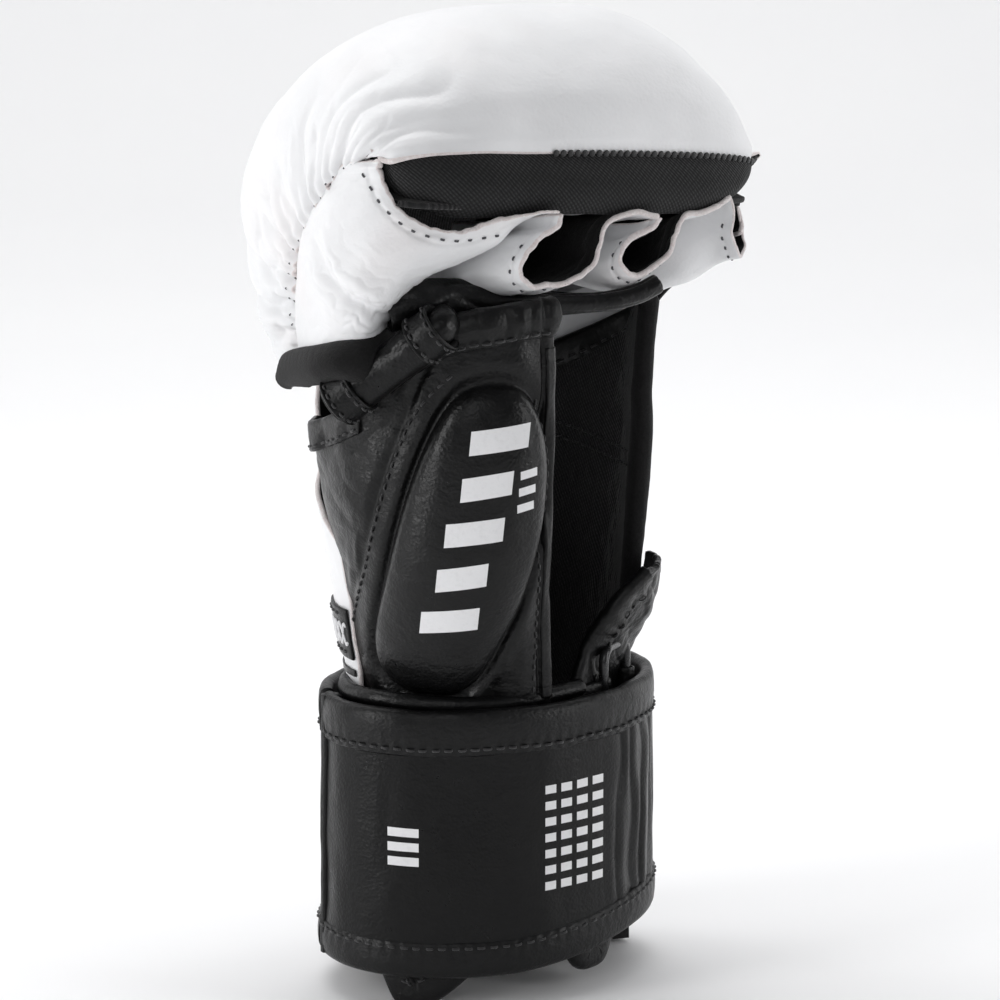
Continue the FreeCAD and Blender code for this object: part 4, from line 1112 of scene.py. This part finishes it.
tree = bvh(THUMB)
vr = np.array([CA, -SA, 0.0])
shapes = []
for k, (w_, h_) in enumerate([(15.5, 5.6), (13.5, 5.6), (15.5, 5.6), (13.5, 5.6), (15.5, 5.6)]):
    shapes.append(para(-4.0 + k * 3.4, -24.5 + k * 12.7, w_, h_ + 1.0, sk=3.2, rot=-0.10))
org_t = uw(np.array(-6.4), np.array(40.0), np.array(134.5))
decal("thumb_pad_bars", shapes, org_t, vr, (0, 0, 1), -vdir * -1 * -1 if False else (SA, CA, 0), tree, "thumb")
shapes = [para(16.6 + k * 0.45, 8.5 + k * 4.6, 4.4, 2.3, sk=0.8) for k in range(3)]
decal("thumb_pad_ticks", shapes, org_t, vr, (0, 0, 1), (SA, CA, 0), tree, "thumb")

# ---------------------------------------------------------------- strap
def strap_zb(th):
    return 8.6 + 6.8 * np.maximum(0, np.cos(np.radians(np.asarray(th, float) + 22))) ** 1.5


def strap_d(th, z):
    fold = sst(283, 300, th) * (1 - sst(345, 358, th))
    f_ = 0.95 * (ridge(th / 8.2 + 0.35 * vn(z / 16, th / 9, 301), 0.9) - 0.6) + 0.5 * vn(th / 7.0, z / 42.0, 303)
    zc_ = (z - 10) / 75
    return 10.35 + 0.32 * fbm(th / 17, z / 30, 305, 3) * sst(0, 0.2, zc_) + fold * f_ * np.clip(np.sin(math.pi * np.clip(zc_, 0, 1)), 0, 1) ** 0.6


STRAPS = {}
for name, t0, t1, body, pre in (("strap_flap", 165.7, 357.6, "strap_flap", "strap_flap"), ("strap_back", 2.4, 161.0, "hand", "strap_back")):
    n_ = 380
    THG, W = np.meshgrid(np.linspace(t0, t1, n_), np.linspace(0, 1, 110), indexing="ij")
    zb = strap_zb(THG) + 2.0
    ZG = zb + (82.0 - zb) * W
    Pst = hand(THG, ZG, strap_d(THG, ZG))
    o = slab(name, Pst, 3.4, [BLACK, LOOP if pre == "strap_flap" else DARK, BIND])
    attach(o, body)
    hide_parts(pre)
    STRAPS[name] = Pst
    tt = np.linspace(t0, t1, 700)
    one = np.ones_like(tt)
    nn_ = hand_n(tt, 60 * one)
    zt = 82.4 + 0.25 * vn(tt / 9, one, 311)
    pth = hand(tt, zt, 8.75 * one)
    o = binding(name + "_top_binding", pth, np.stack([0 * one, 0 * one, -one], 1), nn_, BIND, w=10.8, h=2.1, b=2.1, pucker=0.22, w2=6.0)
    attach(o, body)
    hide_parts(pre + "_top_binding")
    o = stitches(name + "_top_stitches", hand(tt, zt - 8.7, 8.75 + 2.1 + 0 * one)[6:-6], nn_[6:-6], THREAD_K, lift=0.12)
    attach(o, body)
    zbt = strap_zb(tt) + 1.6
    pth = hand(tt, zbt, 8.45 * one)
    o = binding(name + "_bottom_binding", pth, np.stack([0 * one, 0 * one, one], 1), nn_, BIND, w=8.8, h=2.3, b=1.9, pucker=0.22, w2=5.0, seed=8)
    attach(o, body)
    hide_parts(pre + "_bottom_binding")
    o = stitches(name + "_bottom_stitches", hand(tt, zbt + 7.1, 8.45 + 2.3 + 0 * one)[6:-6], nn_[6:-6], THREAD_K, lift=0.12, start=0.2)
    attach(o, body)
zz = np.linspace(float(strap_zb(166)) + 0.5, 83.6, 160)
o1 = np.ones_like(zz)
ep = hand(165.4 * o1, zz, 8.45 * o1)
ei = unit(hand(168.4 * o1, zz, 8.45 * o1) - ep)
o = binding("strap_flap_end_binding", ep, ei, hand_n(165.4 * o1, zz), BIND, w=2.6, h=2.5, b=1.2, pucker=0.1, w2=5.0, seed=12)
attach(o, "strap_flap")
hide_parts("strap_flap_end_binding")


def hslab(name, t0, t1, zf0, zf1, d, thick, mats, body="hand", n=120, m=60, nodes=(), rough=0.1, seed=400, rd=14.0):
    S_, W = np.meshgrid(np.linspace(0, 1, n), np.linspace(0, 1, m), indexing="ij")
    THG = t0 + ((t1(W) if callable(t1) else t1) - t0) * S_
    a_, b_ = (f_(THG) if callable(f_) else np.full_like(THG, f_) for f_ in (zf0, zf1))
    ZG = a_ + (b_ - a_) * W
    dd = d(THG, ZG) if callable(d) else d
    Ph = hand(THG, ZG, dd + rough * fbm(THG / rd, ZG / rd, seed, 3))
    o = slab(name, Ph, thick(THG, ZG) if callable(thick) else thick, mats)
    if body == "flex":
        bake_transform(o)
    else:
        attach(o, body)
    if nodes:
        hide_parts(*nodes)
    return Ph


hslab("hook_tape", 186, 240, 18.5, 73.5, 6.95, 0.8, [DARK, HOOK, HOOK], body="strap_flap", nodes=["hook_patch"], rough=0.05)
hslab("loop_tape", 185, 241, 18, 74, 5.75, 0.9, [LOOP, DARK, LOOP], nodes=["loop_patch"], rough=0.12)

# ---------------------------------------------------------------- cuff
def cuff_zb(th):
    th = np.asarray(th, float)
    a_ = 13 - 14.4 * sst(193, 207, th) * (1 - sst(214, 250, th))
    return a_ - 9.6 * np.exp(-((th - 288) / 10.5) ** 4)


cz1 = lambda th: np.full_like(th, 84.5)
hslab("cuff_leather", 134.5, 303, lambda th: cuff_zb(th) + 2, cz1, lambda th, z: 4.2 + 0 * z, 2.4, [BLACK_SOFT, DARK, BIND], nodes=["cuff_leather"], rough=0.25, n=260)
hslab("cuff_lining", 134.5, 303, lambda th: cuff_zb(th) + 3, lambda th: np.full_like(th, 83.0), 1.5, 1.4, [DARK, KNIT_IN, KNIT_IN], nodes=["cuff_lining"], rough=0.2, n=220)
tt = np.linspace(136, 303, 560)
one = np.ones_like(tt)
cb = cuff_zb(tt) + 1.6
slope = np.gradient(cb, tt)
pth = hand(tt, cb, 3.3 * one)
tang = unit(np.gradient(pth, axis=0))
inw = unit(np.cross(hand_n(tt, 30 * one), tang))
if inw[280, 2] < 0:
    inw = -inw
o = binding("cuff_bottom_binding", pth, inw, hand_n(tt, 30 * one), BIND, w=7.5, h=2.4, b=1.8, pucker=0.2, w2=5, seed=14)
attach(o, "hand")
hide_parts("cuff_bottom_binding")
o = stitches("cuff_bottom_stitches", (pth + inw * 6.0 + hand_n(tt, 30 * one) * 2.4)[8:-8], hand_n(tt, 30 * one)[8:-8], THREAD_K, lift=0.1)
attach(o, "hand")
ct = np.linspace(142, 284, 60)
roll("cuff_top_roll", hand(ct, 84.9 + 0.5 * np.sin(ct / 14.0), 3.3), [2.4, 2.3, 2.4, 2.3, 2.4], BIND, "hand", folds=4, amp=0.06, hollow=0.8, nodes=["cuff_top_binding"], seed=33)
hslab("inner_strap", 243, 293, 31, 67, 5.75, 1.0, [WEB, DARK, WEB], nodes=["inner_strap"], rough=0.1)

# ---------------------------------------------------------------- back of the hand
def back_d(th, z):
    return back_t(th, z) - np.maximum(0, th - 138) / 29.0 * 4.6


hslab("back_hand_leather", -11, lambda w: 167.0 - 36.0 * sst(122, 146, 5 + 164.5 * w), 5, 170.0, lambda th, z: back_d(th, z) + 0.25 - 1.6 * sst(160, 170, z) + 0.5 * vn(th / 23, z / 30, 431) * np.sin(np.radians(np.clip(th, 0, 180))), 1.5, [WHITE, DARK, RAW],
      nodes=["back_hand_leather", "back_hand_foam"], rough=0.35, n=240, m=200, rd=11.0, body="flex")
hslab("back_band", -10, 166.5, 93, 107, lambda th, z: back_d(th, z) + 1.35, 0.9, [BLACK, DARK, BLACK], nodes=["back_band"], rough=0.15, n=220, m=24)
tt = np.linspace(-8, 165, 1100)
for k_, ph in enumerate((0.0, math.pi)):
    zz = 100 + 3.0 * np.sin(2 * math.pi * tt / 9.5 + ph)
    pp = hand(tt, zz, back_d(tt, zz) + 1.5)
    o = tube("back_band_braid_%d" % k_, pp, 0.42, thread("white_braid_%d" % k_, (0.78, 0.78, 0.79), (0.62, 0.62, 0.63)), sides=8)
    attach(o, "hand")
for k_, z0_ in enumerate((94.5, 105.5)):
    pp = hand(tt, z0_ + 0 * tt, back_d(tt, 0 * tt + z0_) + 1.35)
    o = stitches("back_band_stitches_%d" % k_, pp, hand_n(tt, 100 + 0 * tt), THREAD_K, lift=0.08)
    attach(o, "hand")
for k_, z0_ in enumerate((74.0, 88.0)):
    hslab("back_stripe_%d" % k_, -10, 166.0, z0_ if k_ else 66.0, z0_ + 1.6 if k_ else 76.5, lambda th, z: back_d(th, z) + 0.95, 0.5, [BLACK, DARK, BLACK], rough=0.1, n=160, m=12)

# neoprene liner of the open hand
def liner_top(th):
    return 170.6 + (41 - np.clip(th, -22, 41)) * 0.27 + np.where(th > 41, 3.0 * sst(41, 60, th), 0)


def liner_dout(th, z):
    wrap = 1 - sst(-6, 14, th)
    return 2.0 + 4.2 * wrap * sst(92, 112, z) + 0.5 * np.cos((z - 141) / 11.0) * wrap * sst(92, 112, z)


hslab("hand_liner", -25, 129, 5, lambda th: liner_top(th), liner_dout, lambda th, z: liner_dout(th, z) - 0.1 + 0 * th, [KNIT, KNIT_IN, DARK], nodes=["back_hand_liner"], rough=0.22, n=220, m=200, rd=9)
tt = np.linspace(-21, 60, 400)
sz = 141 + 9 * sst(-21, 60, tt) - 2.5 * np.sin(np.radians((tt + 21) * 2.0))
for k_, off in enumerate((0.0, 4.0)):
    pp = hand(tt, sz + off, -0.05 + 0 * tt)
    o = stitches("liner_seam_%d" % k_, pp, -hand_n(tt, sz), THREAD_K, pitch=2.6, length=1.8, r=0.32, lift=0.05)
    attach(o, "hand")
# white facing above the liner, seen through the open palm, and the binding between them
tt = np.linspace(-21, 62, 300)
zl = liner_top(tt)
pth = hand(tt, zl, 0.8 + 1.6 * (1 - sst(-6, 14, tt)))
o = binding("inner_binding", pth + np.array([0, 0, 1.2]), np.tile([0, 0, -1.0], (300, 1)), -hand_n(tt, zl), BIND, w=7.0, h=1.7, b=1.5, pucker=0.14, w2=6, seed=16)
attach(o, "hand")
o = stitches("inner_binding_stitches", pth + np.array([0, 0, -3.9]) - hand_n(tt, zl) * 1.8, -hand_n(tt, zl), THREAD_K, lift=0.1)
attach(o, "hand")
hslab("palm_side_facing", -20, 60, lambda th: liner_top(th) + 0.5, lambda th: liner_top(th) + 14, 2.4, 1.2, [WHITE, WHITE, WHITE], rough=0.2, body="flex")

# ---------------------------------------------------------------- little-finger wing, ring tab
WG = np.array([
    [(24.6, 16, 60), (30, 9.5, 60), (35.5, 0, 60), (37.5, -8, 60), (36.5, -16, 60)],
    [(24.6, 16, 81), (30.5, 9.5, 81), (36, 0, 81), (38.5, -8, 81), (37.5, -16, 81)],
    [(28.0, 12.0, 93), (33.5, 6, 93), (39.0, 0, 93), (42, -8, 93), (41, -16, 93)],
    [(32.0, 12.5, 102.0), (38, 8.5, 102.5), (44.5, 2, 102.5), (46.5, -6, 102.5), (44.5, -15, 102.5)],
    [(38.0, 12.0, 109.5), (43, 8.0, 110.5), (47.4, 1, 111), (48.6, -7, 111), (46, -15, 111)],
    [(45.4, 8.5, 115.0), (47.6, 4, 115.6), (48.8, -1, 115.8), (49.0, -8, 116), (46.5, -15, 116)]], float)
WGR = net(WG, 120, 90)
Pw = uw(WGR[..., 0], WGR[..., 1], WGR[..., 2])
Nw = normals(Pw)
wdir = np.array([0.5, -0.85, 0.0])
if Nw[60, 40] @ wdir < 0:
    Nw = -Nw
wa, wb = lengths(Pw)
Pw = Pw + Nw * (0.5 * fbm(wa / 8, wb / 7, 501, 3) + 0.35 * (ridge((wa + wb * 0.8) / 7.0 + 0.4 * vn(wa / 8, wb / 8, 503), 0.8) - 0.6) * sst(3, 10, wb))[..., None]
flw = bool(normals(Pw)[60, 40] @ wdir < 0)
o = slab("wing_panel", Pw, 1.8, [BLACK_SOFT, DARK, BIND], flip=flw)
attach(o, "hand")
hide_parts("wing_panel")
NwF = normals(Pw) * (-1 if flw else 1)
pth = arc(Pw[:, 0], 260)
wn = unit(arc(NwF[:, 3], 260))
wt_ = unit(np.gradient(pth, axis=0))
inw = unit(np.cross(wn, wt_))
if inw[130] @ (Pw[60, 12] - Pw[60, 0]) < 0:
    inw = -inw
o = binding("wing_binding", pth - wn * 0.8, inw, wn, BIND, w=7.2, h=2.2, b=2.0, pucker=0.16, w2=4, seed=18)
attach(o, "hand")
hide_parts("wing_binding")
o = stitches("wing_stitches", (pth + inw * 5.8 + wn * 1.45)[6:-6], wn[6:-6], THREAD_K, lift=0.1)
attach(o, "hand")
pleg = hand(np.array(322.0), np.array(78.0), np.array(3.5))
tabp = pleg + np.array([0, 0, 1.0]) * np.linspace(-7.5, 7.5, 30)[:, None]
o = tube("ring_tab", tabp, 2.5, BIND, sides=40, hollow=0.7, inner=DARK, shape=lambda A, S: 1 + 0.03 * fbm(S * 3, A * 2, 51, 2))
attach(o, "hand")
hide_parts("ring_tab")

# marks on the strap
tree = bvh(STRAPS["strap_flap"])


def on_strap(name, shapes, u_, z_):
    o3 = np.array([u_ * CA - 60 * SA * 0, 0, 0])
    org = np.array([u_ * CA - 45 * SA, -u_ * SA - 45 * CA, z_])
    return decal(name, shapes, org, vr, (0, 0, 1), (SA, CA, 0), tree, "strap_flap")


on_strap("strap_small_mark", [para(0, 4.1, 8.6, 2.5), para(0, 0, 8.6, 2.5), para(0, -4.1, 8.6, 2.5)], -23.2, 46.0)
em = [para((c - 1.5) * 4.4, (r - 3) * 4.6, 3.0, 2.4) for c in range(4) for r in range(7)]
on_strap("strap_dot_grid", em, 24.0, 46.6)

# hidden parts left from the solid model get matching finishes
for nm, mt in (("strap_ring", METAL), ("back_bottom_binding", BIND)):
    ob = bpy.data.objects.get(nm)
    if ob is not None and ob.type == "MESH":
        ob.data.materials.clear()
        ob.data.materials.append(mt)

# ---------------------------------------------------------------- camera, light, floor
def area(name, loc, aim, size, power, col=(1, 1, 1), sy=None):
    l = bpy.data.lights.new(name, "AREA")
    l.energy = power
    l.color = col
    l.shape = "RECTANGLE"
    l.size = size
    l.size_y = sy or size
    o = bpy.data.objects.new(name, l)
    o.location = Vector(loc)
    o.rotation_euler = (Vector(aim) - Vector(loc)).to_track_quat("-Z", "Y").to_euler()
    COL.objects.link(o)
    return o


AZ, ELV, DIST = math.radians(-35), math.radians(12), 1.150
back = Vector((math.sin(AZ) * math.cos(ELV), -math.cos(AZ) * math.cos(ELV), math.sin(ELV)))
right = Vector((math.cos(AZ), math.sin(AZ), 0))
target = Vector((0, 0, 0.1346)) + right * 0.0034
cam = bpy.data.objects.new("camera", bpy.data.cameras.new("camera"))
cam.data.lens = 36 * DIST * 1000 / 280.0
cam.data.sensor_width = 36
cam.data.clip_start = 0.05
cam.data.clip_end = 20
cam.location = target + back * DIST
cam.rotation_euler = back.to_track_quat("Z", "Y").to_euler()
COL.objects.link(cam)
bpy.context.scene.camera = cam
right_v = np.array(right)
up = np.array([0, 0, 1.0])
bk = np.array([math.sin(AZ), -math.cos(AZ), 0])


def place(r, b, z):
    return tuple(right_v * r + bk * b + up * z)


area("key", place(-0.92, 0.48, 0.36), (0, 0, 0.12), 0.30, 5.2, sy=0.74)
area("fill", place(1.02, 0.30, 0.34), (0, 0, 0.12), 0.22, 3.0, sy=0.70)
area("front", place(-0.15, 1.5, 0.9), (0, 0, 0.15), 0.8, 3.2)
area("top", place(-0.15, -0.25, 1.2), (0, 0, 0.2), 0.8, 3.6)
area("rim_left", place(-0.75, -0.35, 0.35), (0, 0, 0.14), 0.3, 1.6, sy=0.9)
area("rim_right", place(0.8, -0.45, 0.3), (0, 0, 0.14), 0.3, 1.8, sy=0.8)
bpy.context.scene.view_settings.view_transform = "Standard"
area("backdrop", place(0.0, -1.2, 2.4), place(0, -2.3, 0.6), 2.5, 46)

world = bpy.data.worlds.new("studio")
world.use_nodes = True
bg = world.node_tree.nodes["Background"]
bg.inputs["Color"].default_value = (0.95, 0.96, 1.0, 1)
bg.inputs["Strength"].default_value = 0.17
bpy.context.scene.world = world

fm = Nodes("floor_paper")
fm.set(Roughness=0.9, Specular_IOR_Level=0.1)
fv = fm.coord()
fm.l(fm.mix(fm.noise(fv, 3.0, 2.0), (0.86, 0.86, 0.87), (0.90, 0.90, 0.90)), fm.b.inputs["Base Color"])
prof = [(3500.0, -1.2), (-1500.0, -1.2)]
for k in range(1, 19):
    a_ = math.pi / 2 * k / 18
    prof.append((-1500 - 900 * math.sin(a_), -1.2 + 900 * (1 - math.cos(a_))))
prof.append((-2400.0, 4200.0))
FV, FF = [], []
for y_, z_ in prof:
    for x_ in (-4500.0, 4500.0):
        FV.append(tuple(right_v * x_ + bk * y_ + up * z_))
for k in range(len(prof) - 1):
    FF.append((2 * k, 2 * k + 1, 2 * k + 3, 2 * k + 2))
floor = mesh_object("floor", FV, FF, [fm.m], smooth=True)
